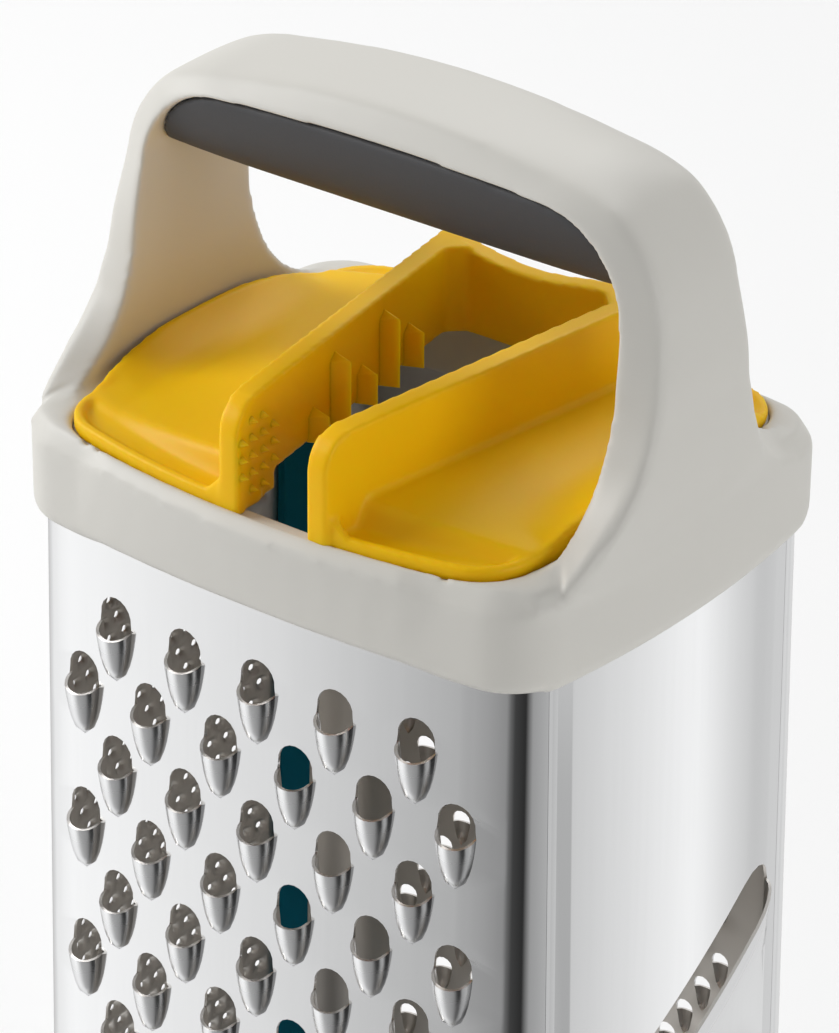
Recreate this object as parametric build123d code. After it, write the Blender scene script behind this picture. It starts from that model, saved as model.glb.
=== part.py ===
from build123d import *
import math
import os

# A four-sided box grater: a drafted steel body between a base ring and an arched handle,
# with a soft grip under the arch and a finger guard nested in the top.
# Frame: origin on the table under the middle of the body, +Z up.
# The coarse face looks to -Y, the slicing face to +X, the medium face to +Y, the fine face to -X.

# Fits between pieces
fit = 0.1
slip = 0.4
overrun = 1.0

# Steel body, measured at the top edge of the sheet
sheet = 0.5
body_width = 103.3
body_depth = 83.1
body_bottom_z = 4.0
body_top_z = 192.0
body_flare = 3.3
front_bulge = 352.0
side_bulge = 210.0
body_corner = 9.0
front_fold = 18.75
side_fold = 14.0

# Coarse face: round holes, each with a raised half-bullet scoop under it
coarse_first = 23.9
coarse_pitch = 15.0
coarse_row = 12.6
coarse_rows = 11
coarse_across = 5
coarse_hole = 3.3
scoop_length = 10.5
scoop_sink = 0.22
scoop_shoulder = (0.78, 0.5)

# Medium face
medium_first = 22.0
medium_pitch = 7.5
medium_row = 6.5
medium_rows = 22
medium_across = 9
medium_hole = 1.9

# Fine face
fine_first = 24.0
fine_pitch = 4.1
fine_row = 3.7
fine_rows = 37
fine_across = 12
fine_hole = 0.9
fine_shift = 3.0

# Slicing face: two slanting slots, each with a raised blade under it
slot_first = 71.1
slot_span = 55.0
slot_drop = 31.0
slot_step = 42.0
slot_count = 2
slot_gap = 6.5
blade_rise = 2.8
blade_run = 11.0

# Seam in the fine face and the strip that closes it inside
seam_gap = 0.4
seam_y = 28.5
strip_width = 7.0
strip_thickness = 1.4
strip_end_gap = 1.0

# Base ring and foot ring
base_bottom_z = 1.0
base_top_z = 14.0
base_wall = 2.4
base_lip_z = 9.0
base_lip = 2.0
foot_width = 3.0
foot_inset = 1.2
foot_depth = 1.2

# Handle band
band_reach = 2.35
band_corner = 11.0
band_overlap = 14.0
band_rise = 5.3
band_bottom_fillet = 3.5
rim_drop = 3.7
rim_run = 2.3

# Handle arch
leg_step = 0.2
leg_straight = 2.2
leg_lean = 6.0
leg_arc = 100.0
arch_corner = 16.0
arch_corner_turn = 80.0
arch_thickness = 5.4
arch_inner_depth = 27.2
arch_outer_depth = 20.2
flare_radius = 22.5
leg_taper_rise = 18.2

# Seat for the guard, and the collar that carries it
seat_side_inset = 5.35
seat_front_inset = 0.25
seat_corner = 10.0
flange_height = 2.0
ledge_height = 2.0
flange_reach = 0.7
ledge_side = 2.8
ledge_front = 3.3
collar_corner = 7.0
collar_drop = 11.0

# Soft grip with its core and screws
grip_depth = 25.2
grip_drop = 17.4
grip_end_rise = 13.0
grip_skin = 2.0
screw_spacing = 48.0
screw_shank = 1.5
screw_head = 2.8
screw_head_height = 2.0
screw_head_drop = 8.8
screw_bite = 3.2

# Finger guard
guard_rim_rise = 3.5
guard_side_rise = 5.0
guard_saddle = 70.0
guard_bar = 8.0
guard_side_bar = 3.0
tray_rise = 4.8
tray_crown = 2.4
tray_thickness = 2.4
wall_thickness = 3.8
wall_rise = 3.9
wall_height = 15.1
wall_front_round = 6.0
channel_front_left = 1.3
channel_front_right = 11.2
channel_back_left = 12.3
channel_back_right = 20.5
channel_back_y = 24.5

# Teeth on the walls of the guard's channel
ridge_pitch = 7.7
ridge_first_y = -23.0
ridge_count = 5
ridge_high_drop = 3.5
ridge_low_drop = 10.0
ridge_rise = 2.6
ridge_width = 2.4
tooth_pitch = 3.1
tooth_row = 2.9
tooth_first_y = -39.3
tooth_drop = 10.1
tooth_size = 1.6
tooth_rise = 1.2
tooth_columns = (3, 5, 5)


# Values that follow from the sizes above
coarse_first_z = body_top_z - coarse_first
medium_first_z = body_top_z - medium_first
fine_first_z = body_top_z - fine_first
slot_first_z = body_top_z - slot_first
band_width = body_width + 2 * band_reach
band_depth = body_depth + 2 * band_reach
band_bottom_z = body_top_z - band_overlap
band_top_z = body_top_z + band_rise
seat_width = body_width - 2 * seat_side_inset
seat_depth = body_depth - 2 * seat_front_inset
web_z = body_top_z + flange_height
ledge_z = web_z + ledge_height
collar_width = seat_width - 2 * ledge_side
collar_depth = seat_depth - 2 * ledge_front
collar_bottom_z = body_top_z - collar_drop
leg_inner = seat_width / 2 + leg_step
leg_top_z = band_top_z + flare_radius + leg_straight
leg_taper_z = band_top_z + leg_taper_rise
grip_end_z = leg_top_z + grip_end_rise
guard_rim_z = ledge_z + guard_rim_rise
guard_side_z = guard_rim_z + guard_side_rise
tray_low_z = ledge_z + tray_rise
tray_high_z = tray_low_z + tray_crown
wall_bottom_z = ledge_z + wall_rise
wall_top_z = wall_bottom_z + wall_height
ridge_high_z = wall_top_z - ridge_high_drop
ridge_low_z = wall_top_z - ridge_low_drop
tooth_middle_z = wall_top_z - tooth_drop
body_draft = body_flare / (body_top_z - body_bottom_z)
draft_angle = math.degrees(math.atan(body_draft))
fold_shares = (-1.5, 0, 1.5)
corner_share = 0.4
upright_share = 0.9
half_shares = (0.5, 1.0)
diagonal_share = math.sqrt(0.5)
tray_reach_share = 0.6
tooth_point_share = 0.8


def mirrored(point, x_sign, y_sign):
    return (x_sign * point[0], y_sign * point[1])


def corner_points(half_w, half_d, front_r, side_r, corner_r):
    """Ends and middle of the corner arc that joins the front bulge to the right bulge."""
    front_c = (0, front_r - half_d)
    side_c = (half_w - side_r, 0)
    reach_1 = front_r - corner_r
    reach_2 = side_r - corner_r
    dx = side_c[0] - front_c[0]
    dy = side_c[1] - front_c[1]
    apart = math.hypot(dx, dy)
    along = (reach_1**2 - reach_2**2 + apart**2) / (2 * apart)
    across = math.sqrt(reach_1**2 - along**2)
    foot = (front_c[0] + along * dx / apart, front_c[1] + along * dy / apart)
    options = [
        (foot[0] + sign * across * dy / apart, foot[1] - sign * across * dx / apart)
        for sign in (1, -1)
    ]
    centre = max(options, key=lambda p: p[0] - p[1])
    start = tuple(c + front_r * (p - c) / reach_1 for c, p in zip(front_c, centre))
    end = tuple(c + side_r * (p - c) / reach_2 for c, p in zip(side_c, centre))
    out = ((start[0] + end[0]) / 2 - centre[0], (start[1] + end[1]) / 2 - centre[1])
    size = math.hypot(*out)
    middle = tuple(c + corner_r * o / size for c, o in zip(centre, out))
    return start, middle, end


def bulged_face(width, depth, corner, grow=0):
    """Rounded rectangle whose four sides bulge outward, grown by an even margin."""
    half_w = width / 2 + grow
    half_d = depth / 2 + grow
    start, middle, end = corner_points(
        half_w, half_d, front_bulge + grow, side_bulge + grow, corner + grow
    )
    edges = []
    for x_sign, y_sign in ((1, 1), (1, -1), (-1, -1), (-1, 1)):
        points = [mirrored(p, x_sign, y_sign) for p in (start, middle, end)]
        edges.append(ThreePointArc(*points))
    for y_sign in (1, -1):
        left = mirrored(start, -1, y_sign)
        edges.append(ThreePointArc(left, (0, -y_sign * half_d), mirrored(start, 1, y_sign)))
    for x_sign in (1, -1):
        low = mirrored(end, x_sign, 1)
        edges.append(ThreePointArc(low, (x_sign * half_w, 0), mirrored(end, x_sign, -1)))
    return make_face(Wire(edges))


def bulged_prism(width, depth, corner, low_z, high_z, grow=0):
    face = Pos(0, 0, low_z) * bulged_face(width, depth, corner, grow)
    return extrude(face, amount=high_z - low_z)


def fold_point(half, bulge, at):
    """Distance of the bulged face from the middle of the body, at a place across it."""
    return half - bulge + math.sqrt(bulge**2 - at**2)


def drafted(low_z, high_z, inset=0):
    """Solid inside the steel's outline: each side is folded into three flats that lean outward."""
    height = high_z - low_z
    size = 2 * body_width
    solid = Pos(0, 0, (low_z + high_z) / 2) * Box(size, size, height)
    for side, fold in ((0, front_fold), (90, side_fold), (180, front_fold), (270, side_fold)):
        for share in fold_shares:
            place = on_face(side, share * fold, body_top_z)
            solid &= place * Pos(0, size / 2 + inset, 0) * Box(size, size, 4 * body_top_z)
    corners = [
        edge for edge in solid.edges().filter_by(lambda e: abs(e.tangent_at(0).Z) > upright_share)
        if abs(edge.center().X) > body_width * corner_share
        and abs(edge.center().Y) > body_depth * corner_share
    ]
    return fillet(corners, body_corner - inset)


def on_face(side, across, z):
    """Location on the outside of a face: local -Y points out, local X runs across it."""
    front = side % 180 == 0
    half, bulge, fold = (
        (body_depth / 2, front_bulge, front_fold) if front else (body_width / 2, side_bulge, side_fold)
    )
    fold_y = fold_point(half, bulge, fold)
    turn = 0
    out = fold_y
    if abs(across) > fold:
        start, _, end = corner_points(
            body_width / 2, body_depth / 2, front_bulge, side_bulge, body_corner
        )
        far, far_y = (start[0], -start[1]) if front else (-end[1], end[0])
        slope = (fold_y - far_y) / (far - fold)
        out = fold_y - slope * (abs(across) - fold)
        turn = math.copysign(math.degrees(math.atan(slope)), across)
    margin = body_draft * (body_top_z - z)
    placed = Rot(0, 0, side) * Pos(across, -out, z) * Rot(0, 0, turn)
    return placed * Pos(0, -margin, 0) * Rot(-draft_angle, 0, 0)


def grid(side, first_z, pitch, row, rows, across, shift=0):
    """Staggered grid of locations on one face, every other row one place wider."""
    places = []
    for level in range(rows):
        count = across + level % 2
        for place in range(count):
            at = shift + (place - (count - 1) / 2) * pitch
            places.append(on_face(side, at, first_z - level * row))
    return places


def half_bullet(radius, length, sink):
    """Half of a pointed bullet that hangs down from the middle of a hole."""
    shoulder = (radius * scoop_shoulder[0], 0, -length * scoop_shoulder[1])
    profile = Polyline((0, 0, 0), (0, 0, -length), shoulder, (radius, 0, 0), close=True)
    return Pos(0, sink, 0) * Rot(0, 0, 180) * revolve(make_face(profile), Axis.Z, 180)


def scoop_tools():
    """The raised scoop, and the hole and hollow that are cut through it."""
    raised = half_bullet(coarse_hole + sheet, scoop_length, scoop_sink)
    hollow = half_bullet(coarse_hole, scoop_length - 2 * sheet, scoop_sink + 2 * sheet)
    hole = Rot(90, 0, 0) * Cylinder(coarse_hole, 3 * coarse_hole)
    return raised, hollow + hole


def blade_tools(level):
    """A raised slicing blade with closed ends, and the slot and hollow cut through it."""
    slant = math.degrees(math.atan(slot_drop / slot_span))
    length = math.hypot(slot_span, slot_drop)
    middle = on_face(90, 0, slot_first_z - level * slot_step - slot_drop / 2)
    place = middle * Rot(0, -slant, 0)
    edge_z = -slot_gap
    foot_z = edge_z - blade_run
    outer = Polyline((0, sheet, edge_z), (0, -blade_rise, edge_z), (0, 0, foot_z), (0, sheet, foot_z),
                     close=True)
    rise = blade_rise - sheet
    inner = Polyline((0, 2 * sheet, edge_z + overrun), (0, -rise, edge_z + overrun),
                     (0, -rise, edge_z), (0, sheet, foot_z + 3 * sheet),
                     (0, 2 * sheet, foot_z + 3 * sheet), close=True)
    raised = extrude(make_face(outer), amount=length / 2, both=True)
    hollow = extrude(make_face(inner), amount=length / 2 - sheet, both=True)
    slot = Pos(0, 0, edge_z / 2) * Box(length - 2 * sheet, 3 * blade_rise, slot_gap)
    return place * raised, place * (hollow + slot)


def make_body_sheet():
    """One steel sheet wrapped round four corners, with the seam in the fine face."""
    tube = drafted(body_bottom_z, body_top_z) - drafted(
        body_bottom_z - overrun, body_top_z + overrun, sheet
    )
    raised, cut = scoop_tools()
    coarse = grid(0, coarse_first_z, coarse_pitch, coarse_row, coarse_rows, coarse_across)
    blades = [blade_tools(level) for level in range(slot_count)]
    added = [place * raised for place in coarse] + [blade[0] for blade in blades]
    removed = [place * cut for place in coarse] + [blade[1] for blade in blades]
    body = tube.fuse(*added).cut(*removed)
    medium_tool = Rot(90, 0, 0) * Cylinder(medium_hole, 4 * sheet)
    medium = grid(180, medium_first_z, medium_pitch, medium_row, medium_rows, medium_across)
    fine_tool = Rot(90, 0, 0) * Cylinder(fine_hole, 4 * sheet)
    fine = grid(270, fine_first_z, fine_pitch, fine_row, fine_rows, fine_across, fine_shift)
    seam = Pos(-body_width / 2, seam_y, body_top_z / 2) * Box(body_width / 2, seam_gap, 2 * body_top_z)
    body = body.cut(*[place * medium_tool for place in medium])
    return body.cut(*[place * fine_tool for place in fine], seam)


def make_seam_strip():
    """Plastic strip that closes the seam on the inside of the fine face."""
    low_z = base_lip_z + strip_end_gap
    high_z = collar_bottom_z - strip_end_gap
    inside = drafted(low_z, high_z, sheet) - drafted(
        low_z - overrun, high_z + overrun, sheet + strip_thickness
    )
    middle_z = (low_z + high_z) / 2
    return inside & Pos(-body_width / 2, seam_y, middle_z) * Box(body_width / 2, strip_width, high_z)


def make_base_ring():
    """Plastic ring that holds the bottom edge of the steel in a groove."""
    bottom_width = body_width + 2 * body_flare
    bottom_depth = body_depth + 2 * body_flare
    ring = bulged_prism(bottom_width, bottom_depth, body_corner, base_bottom_z, base_top_z, base_wall)
    pocket = drafted(body_bottom_z, base_top_z + overrun, -fit)
    lip = drafted(body_bottom_z - overrun, base_lip_z, sheet + fit)
    opening = drafted(base_bottom_z - overrun, base_top_z + overrun, sheet + fit + base_lip)
    return ((ring - pocket) + lip) - opening - foot_groove(0)


def foot_groove(clear):
    """Shape of the foot ring where it sits in the base, narrowed by a clearance on each side."""
    bottom_width = body_width + 2 * body_flare
    bottom_depth = body_depth + 2 * body_flare
    top_z = base_bottom_z + foot_depth
    outer = base_wall - foot_inset - clear
    inner = base_wall - foot_inset - foot_width + clear
    ring = bulged_prism(bottom_width, bottom_depth, body_corner, 0, top_z, outer)
    return ring - bulged_prism(bottom_width, bottom_depth, body_corner, -overrun, top_z + overrun, inner)


def make_foot_ring():
    """Soft ring under the base that the grater stands on."""
    return foot_groove(fit)


def arch_path(inward=0):
    """Inner line of the arch from one leg to the other, in the plane y = 0."""
    half = leg_inner - inward
    rest_turn = 90 - leg_lean - arch_corner_turn
    corner = arch_corner - inward
    lean_arc = leg_arc - inward
    lean = math.radians(leg_lean)
    rest = math.radians(rest_turn)
    left_over = half - lean_arc * (1 - math.cos(lean)) - corner * (math.cos(lean) - math.sin(rest))
    crown = left_over / math.sin(rest)
    plane = Plane.XZ
    points = []
    x, z, turned = half, leg_top_z, 0.0
    for radius, turn in ((lean_arc, leg_lean), (corner, arch_corner_turn), (crown, rest_turn)):
        for share in half_shares:
            angle = turned + math.radians(turn * share)
            points.append((x - radius * (math.cos(turned) - math.cos(angle)), 0,
                           z + radius * (math.sin(angle) - math.sin(turned))))
        x, z = points[-1][0], points[-1][2]
        turned += math.radians(turn)
    points[-1] = (0, 0, points[-1][2])
    right = []
    last = (half, 0, leg_top_z)
    for middle, end in zip(points[0::2], points[1::2]):
        right.append(ThreePointArc(last, middle, end))
        last = end
    left = [edge.mirror(Plane.YZ) for edge in right]
    return Wire(right + left), last[2]


def arch_inside(inward, low_z):
    """Space under the arch as a slab across the handle, from a height up to the inner line."""
    wire, _ = arch_path(inward)
    half = leg_inner - inward
    face = make_face(Wire(list(wire.edges()) + [Line((-half, 0, leg_top_z), (half, 0, leg_top_z))]))
    slab = extrude(face, amount=arch_inner_depth, both=True)
    below = Pos(0, 0, low_z - leg_top_z) * Box(4 * leg_inner, 4 * leg_inner, 2 * leg_top_z)
    return slab - below


def make_arch():
    """The arched strap, a trapezoid in section, swept from leg to leg."""
    path, _ = arch_path()
    inner = arch_inner_depth / 2
    outer = arch_outer_depth / 2
    z = leg_top_z
    section = Polyline((leg_inner, -inner, z), (leg_inner + arch_thickness, -outer, z),
                       (leg_inner + arch_thickness, outer, z), (leg_inner, inner, z), close=True)
    return sweep(make_face(section), path=path)


def leg_outline(x):
    """Outline of a leg at a distance from the middle: it widens in two arcs down to the band."""
    inner = arch_inner_depth / 2
    grow = (x - leg_inner) * (arch_inner_depth - arch_outer_depth) / 2 / arch_thickness
    radius = flare_radius + grow
    centre_y = inner + flare_radius
    centre_z = band_top_z + flare_radius
    diagonal = radius * diagonal_share
    low_z = web_z - arch_thickness
    edges = []
    for sign in (-1, 1):
        low = (x, sign * centre_y, centre_z - radius)
        middle = (x, sign * (centre_y - diagonal), centre_z - diagonal)
        high = (x, sign * (centre_y - radius), centre_z)
        edges += [ThreePointArc(low, middle, high), Line(high, (x, high[1], leg_top_z))]
        edges.append(Line((x, low[1], low_z), low))
    width = centre_y - radius
    edges.append(Line((x, -width, leg_top_z), (x, width, leg_top_z)))
    edges.append(Line((x, -centre_y, low_z), (x, centre_y, low_z)))
    return make_face(Wire(edges))


def make_leg_base():
    """Foot of one leg: it flares from the strap to the full depth of the band."""
    out = leg_inner + arch_thickness
    half = band_width / 2
    low_z = web_z - arch_thickness - overrun
    high_z = leg_top_z + overrun
    flared = loft([leg_outline(leg_inner), leg_outline(half)], ruled=True)
    front = Polyline((0, 0, low_z), (half, 0, low_z), (half, 0, band_top_z), (out, 0, leg_taper_z),
                     (out, 0, high_z), (0, 0, high_z), close=True)
    lean = extrude(make_face(front), amount=band_depth, both=True)
    around = bulged_prism(band_width, band_depth, band_corner, low_z, high_z, -fit)
    return flared & lean & around


def make_handle_frame():
    """Band round the top of the body, with the arch standing on it."""
    low = bulged_prism(band_width, band_depth, band_corner, band_bottom_z, band_top_z - rim_drop)
    low = fillet(low.faces().sort_by(Axis.Z)[0].edges(), band_bottom_fillet)
    edge = Pos(0, 0, band_top_z - rim_drop) * bulged_face(band_width, band_depth, band_corner)
    rim = extrude(edge, amount=rim_drop, taper=math.degrees(math.atan(rim_run / rim_drop)))
    leg = make_leg_base()
    solid = low + rim + leg + mirror(leg, Plane.YZ) + make_arch()
    steel_space = drafted(band_bottom_z - overrun, body_top_z, -fit)
    collar_space = collar_flange(0)
    seat = bulged_prism(seat_width, seat_depth, seat_corner, web_z - overrun, band_top_z + overrun)
    return solid - steel_space - collar_space - seat - screw_form(fit)


def collar_flange(clear):
    """Flange of the collar that is trapped between the band and the top edge of the steel."""
    return bulged_prism(body_width, body_depth, body_corner, body_top_z, web_z, flange_reach - clear)


def make_inner_collar():
    """Collar inside the top of the steel, with the ledge that the guard rests on."""
    skirt = drafted(collar_bottom_z, body_top_z, sheet + fit)
    upper = bulged_prism(seat_width, seat_depth, seat_corner, web_z, ledge_z, -fit)
    opening = bulged_prism(collar_width, collar_depth, collar_corner,
                           collar_bottom_z - overrun, ledge_z + overrun)
    return (skirt + collar_flange(fit) + upper) - opening


def grip_solid(inset, top_gap):
    """Grip filling the inside of the arch, shrunk by an inset: rounded below, pointed at its ends."""
    _, crown_z = arch_path()
    section = Plane.YZ * Pos(0, crown_z, 0) * Ellipse(grip_depth / 2 - inset, grip_drop - inset)
    rod = extrude(section, amount=leg_inner - 2 * inset, both=True)
    end = leg_inner + overrun
    low_z = crown_z - grip_drop + inset
    end_z = grip_end_z + inset
    top_z = crown_z + arch_thickness
    side = Wire([
        ThreePointArc((-end, 0, end_z), (0, 0, low_z), (end, 0, end_z)),
        Line((end, 0, end_z), (end, 0, top_z)),
        Line((end, 0, top_z), (-end, 0, top_z)),
        Line((-end, 0, top_z), (-end, 0, end_z)),
    ])
    lens = extrude(make_face(side), amount=grip_depth, both=True)
    return rod & lens & arch_inside(top_gap, grip_end_z - grip_drop)


def screw_form(clear):
    """Two screws up through the core into the arch, grown by a clearance."""
    _, crown_z = arch_path()
    tip_z = crown_z + screw_bite + clear
    head_low = crown_z - screw_head_drop - clear
    parts = []
    for sign in (-1, 1):
        x = sign * screw_spacing / 2
        head = Pos(x, 0, head_low) * extrude(Circle(screw_head + clear), screw_head_height + 2 * clear)
        shank = Pos(x, 0, head_low) * extrude(Circle(screw_shank + clear), tip_z - head_low)
        parts.append(head + shank)
    return parts


def make_grip_core():
    """Stiff core inside the soft grip, with counterbores for the screws."""
    _, crown_z = arch_path()
    well_depth = crown_z - screw_head_drop - grip_end_z + grip_drop
    wells = []
    for sign in (-1, 1):
        well = extrude(Circle(screw_head + fit), well_depth)
        wells.append(Pos(sign * screw_spacing / 2, 0, grip_end_z - grip_drop) * well)
    return grip_solid(grip_skin + fit, 2 * fit) - wells - screw_form(fit)


def make_grip_cover():
    """Soft cover moulded over the core."""
    return grip_solid(0, fit) - grip_solid(grip_skin, fit)


def make_grip_screws():
    return Compound(children=[Solid(screw.solids()[0].wrapped) for screw in screw_form(0)])


def guard_outline(low_z, high_z, inset=0):
    return bulged_prism(seat_width, seat_depth, seat_corner, low_z, high_z, -slip - inset)


def channel_walls():
    """Walls on both sides of the channel and behind it, with rounded front corners."""
    front_y = -seat_depth / 2
    left_front = (-channel_front_left, front_y)
    left_back = (-channel_back_left, channel_back_y)
    right_front = (channel_front_right, front_y)
    right_back = (channel_back_right, channel_back_y)
    space = Polyline(left_front, right_front, right_back, left_back, close=True)
    height = wall_top_z - ledge_z
    channel = Pos(0, 0, ledge_z - overrun) * extrude(make_face(space), height + 2 * overrun)
    back_y = channel_back_y + wall_thickness
    outside = Polyline(
        (left_front[0] - wall_thickness, front_y), (right_front[0] + wall_thickness, front_y),
        (right_back[0] + wall_thickness, back_y), (left_back[0] - wall_thickness, back_y), close=True,
    )
    walls = Pos(0, 0, wall_bottom_z) * extrude(make_face(outside), wall_top_z - wall_bottom_z)
    front = front_y + slip
    corner = (front + wall_front_round * (1 - diagonal_share),
              wall_top_z - wall_front_round * (1 - diagonal_share))
    side = Wire([
        Line((0, front, ledge_z), (0, front, wall_top_z - wall_front_round)),
        ThreePointArc((0, front, wall_top_z - wall_front_round), (0, *corner),
                      (0, front + wall_front_round, wall_top_z)),
        Line((0, front + wall_front_round, wall_top_z), (0, back_y + overrun, wall_top_z)),
        Line((0, back_y + overrun, wall_top_z), (0, back_y + overrun, ledge_z)),
        Line((0, back_y + overrun, ledge_z), (0, front, ledge_z)),
    ])
    rounded = extrude(make_face(side), amount=seat_width / 2, both=True)
    return walls & rounded, channel


def wall_place(sign, y, z):
    """Location on a channel wall: local -Y points into the channel, local X runs to the back."""
    front_y = -seat_depth / 2
    front_x, back_x = (
        (-channel_front_left, -channel_back_left) if sign < 0 else (channel_front_right, channel_back_right)
    )
    share = (y - front_y) / (channel_back_y - front_y)
    turn = math.degrees(math.atan2(channel_back_y - front_y, back_x - front_x))
    flip = 0 if sign < 0 else 180
    return Pos(front_x + share * (back_x - front_x), y, z) * Rot(0, 0, turn + flip)


def guard_teeth(sign):
    """Tall ridges and small pyramids that grip the food, on one wall of the channel."""
    teeth = []
    shift = 0 if sign < 0 else ridge_pitch / 2
    for place in range(ridge_count):
        top_z = (ridge_low_z, ridge_high_z)[place % 2]
        plan = Polyline((-ridge_width / 2, overrun), (-ridge_width / 2, 0), (0, -ridge_rise),
                        (ridge_width / 2, 0), (ridge_width / 2, overrun), close=True)
        ridge = extrude(make_face(plan), amount=top_z - wall_bottom_z)
        teeth.append(wall_place(sign, ridge_first_y + shift + place * ridge_pitch, wall_bottom_z) * ridge)
    for column, count in enumerate(tooth_columns):
        for row in range(count):
            z = tooth_middle_z + (row - (count - 1) / 2) * tooth_row
            base = Pos(0, overrun, 0) * Rot(90, 0, 0) * Rectangle(tooth_size, tooth_size)
            block = extrude(base, amount=overrun, dir=(0, -1, 0))
            spike = extrude(Pos(0, -overrun, 0) * base, amount=tooth_rise, dir=(0, -1, 0),
                            taper=math.degrees(math.atan(tooth_size / 2 / tooth_rise)) * tooth_point_share)
            teeth.append(wall_place(sign, tooth_first_y + column * tooth_pitch, z) * (block + spike))
    return teeth


def make_finger_guard():
    """Two finger trays joined round a toothed channel, in one moulding."""
    half_saddle = guard_saddle / 2
    reach = seat_depth / 2 + overrun
    profile = Wire([
        Line((0, -reach, ledge_z), (0, -reach, guard_rim_z)),
        Line((0, -reach, guard_rim_z), (0, -half_saddle, guard_rim_z)),
        ThreePointArc((0, -half_saddle, guard_rim_z), (0, 0, guard_side_z), (0, half_saddle, guard_rim_z)),
        Line((0, half_saddle, guard_rim_z), (0, reach, guard_rim_z)),
        Line((0, reach, guard_rim_z), (0, reach, ledge_z)),
        Line((0, reach, ledge_z), (0, -reach, ledge_z)),
    ])
    saddle = extrude(make_face(profile), amount=seat_width / 2, both=True)
    inner = bulged_prism(seat_width - 2 * guard_side_bar, seat_depth - 2 * guard_bar, seat_corner,
                         ledge_z - overrun, guard_side_z + overrun, -slip)
    rim = (guard_outline(ledge_z, guard_side_z) & saddle) - inner
    half = seat_width / 2 - slip - guard_side_bar / 2
    slabs = []
    middle = (channel_front_right - channel_front_left) / 2
    for sign in (-1, 1):
        plan = Polyline((middle, 0, tray_high_z), (sign * half, 0, tray_low_z),
                        (sign * half, 0, tray_low_z - tray_thickness),
                        (middle, 0, tray_high_z - tray_thickness), close=True)
        reach = seat_depth / 2 - guard_bar * tray_reach_share
        slabs.append(extrude(make_face(plan), amount=reach, both=True))
    trays = (slabs[0] + slabs[1]) & guard_outline(ledge_z, guard_side_z, guard_side_bar / 2)
    walls, channel = channel_walls()
    solid = (rim + trays + walls) - channel
    return solid.fuse(*[tooth for sign in (-1, 1) for tooth in guard_teeth(sign)])


NODES = {
    "body_sheet": make_body_sheet,
    "seam_strip": make_seam_strip,
    "base_ring": make_base_ring,
    "foot_ring": make_foot_ring,
    "handle_frame": make_handle_frame,
    "inner_collar": make_inner_collar,
    "grip_core": make_grip_core,
    "grip_cover": make_grip_cover,
    "grip_screws": make_grip_screws,
    "finger_guard": make_finger_guard,
}

os.makedirs("parts", exist_ok=True)
for name, make in NODES.items():
    export_step(make(), f"parts/{name}.step")
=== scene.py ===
"""Looks of a four-sided box grater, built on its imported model."""
import math
from types import SimpleNamespace

import bmesh
import bpy
import numpy as np
from bpy.props import FloatProperty, FloatVectorProperty, PointerProperty
from mathutils import Matrix, Vector


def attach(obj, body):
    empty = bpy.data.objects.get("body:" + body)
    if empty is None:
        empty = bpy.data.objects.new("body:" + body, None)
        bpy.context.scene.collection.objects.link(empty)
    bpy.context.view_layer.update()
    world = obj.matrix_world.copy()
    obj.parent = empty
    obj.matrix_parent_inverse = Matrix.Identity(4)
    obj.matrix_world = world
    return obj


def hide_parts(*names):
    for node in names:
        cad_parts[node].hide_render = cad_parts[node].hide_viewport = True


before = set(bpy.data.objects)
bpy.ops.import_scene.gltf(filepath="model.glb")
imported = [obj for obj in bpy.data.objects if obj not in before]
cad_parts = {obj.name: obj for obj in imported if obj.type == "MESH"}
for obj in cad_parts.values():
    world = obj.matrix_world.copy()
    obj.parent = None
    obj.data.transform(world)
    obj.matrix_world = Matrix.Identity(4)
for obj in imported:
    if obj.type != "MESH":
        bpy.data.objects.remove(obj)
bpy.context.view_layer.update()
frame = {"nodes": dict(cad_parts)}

bl_info = {
    "name": "Box Grater",
    "version": (1, 0, 0),
    "blender": (4, 5, 0),
    "location": "View3D > Sidebar > Grater",
    "description": "Builds the looks of a box grater with a finger guard on its packed model",
    "category": "Object",
}

MM = 0.001
NEAR = 0.01 * MM


def length(name, text, millimetres):
    return FloatProperty(name=name, description=text, default=millimetres * MM, unit="LENGTH", precision=5)


def colour(name, text, value):
    return FloatVectorProperty(name=name, description=text, default=value, subtype="COLOR",
                               size=3, min=0.0, max=1.0)


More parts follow.
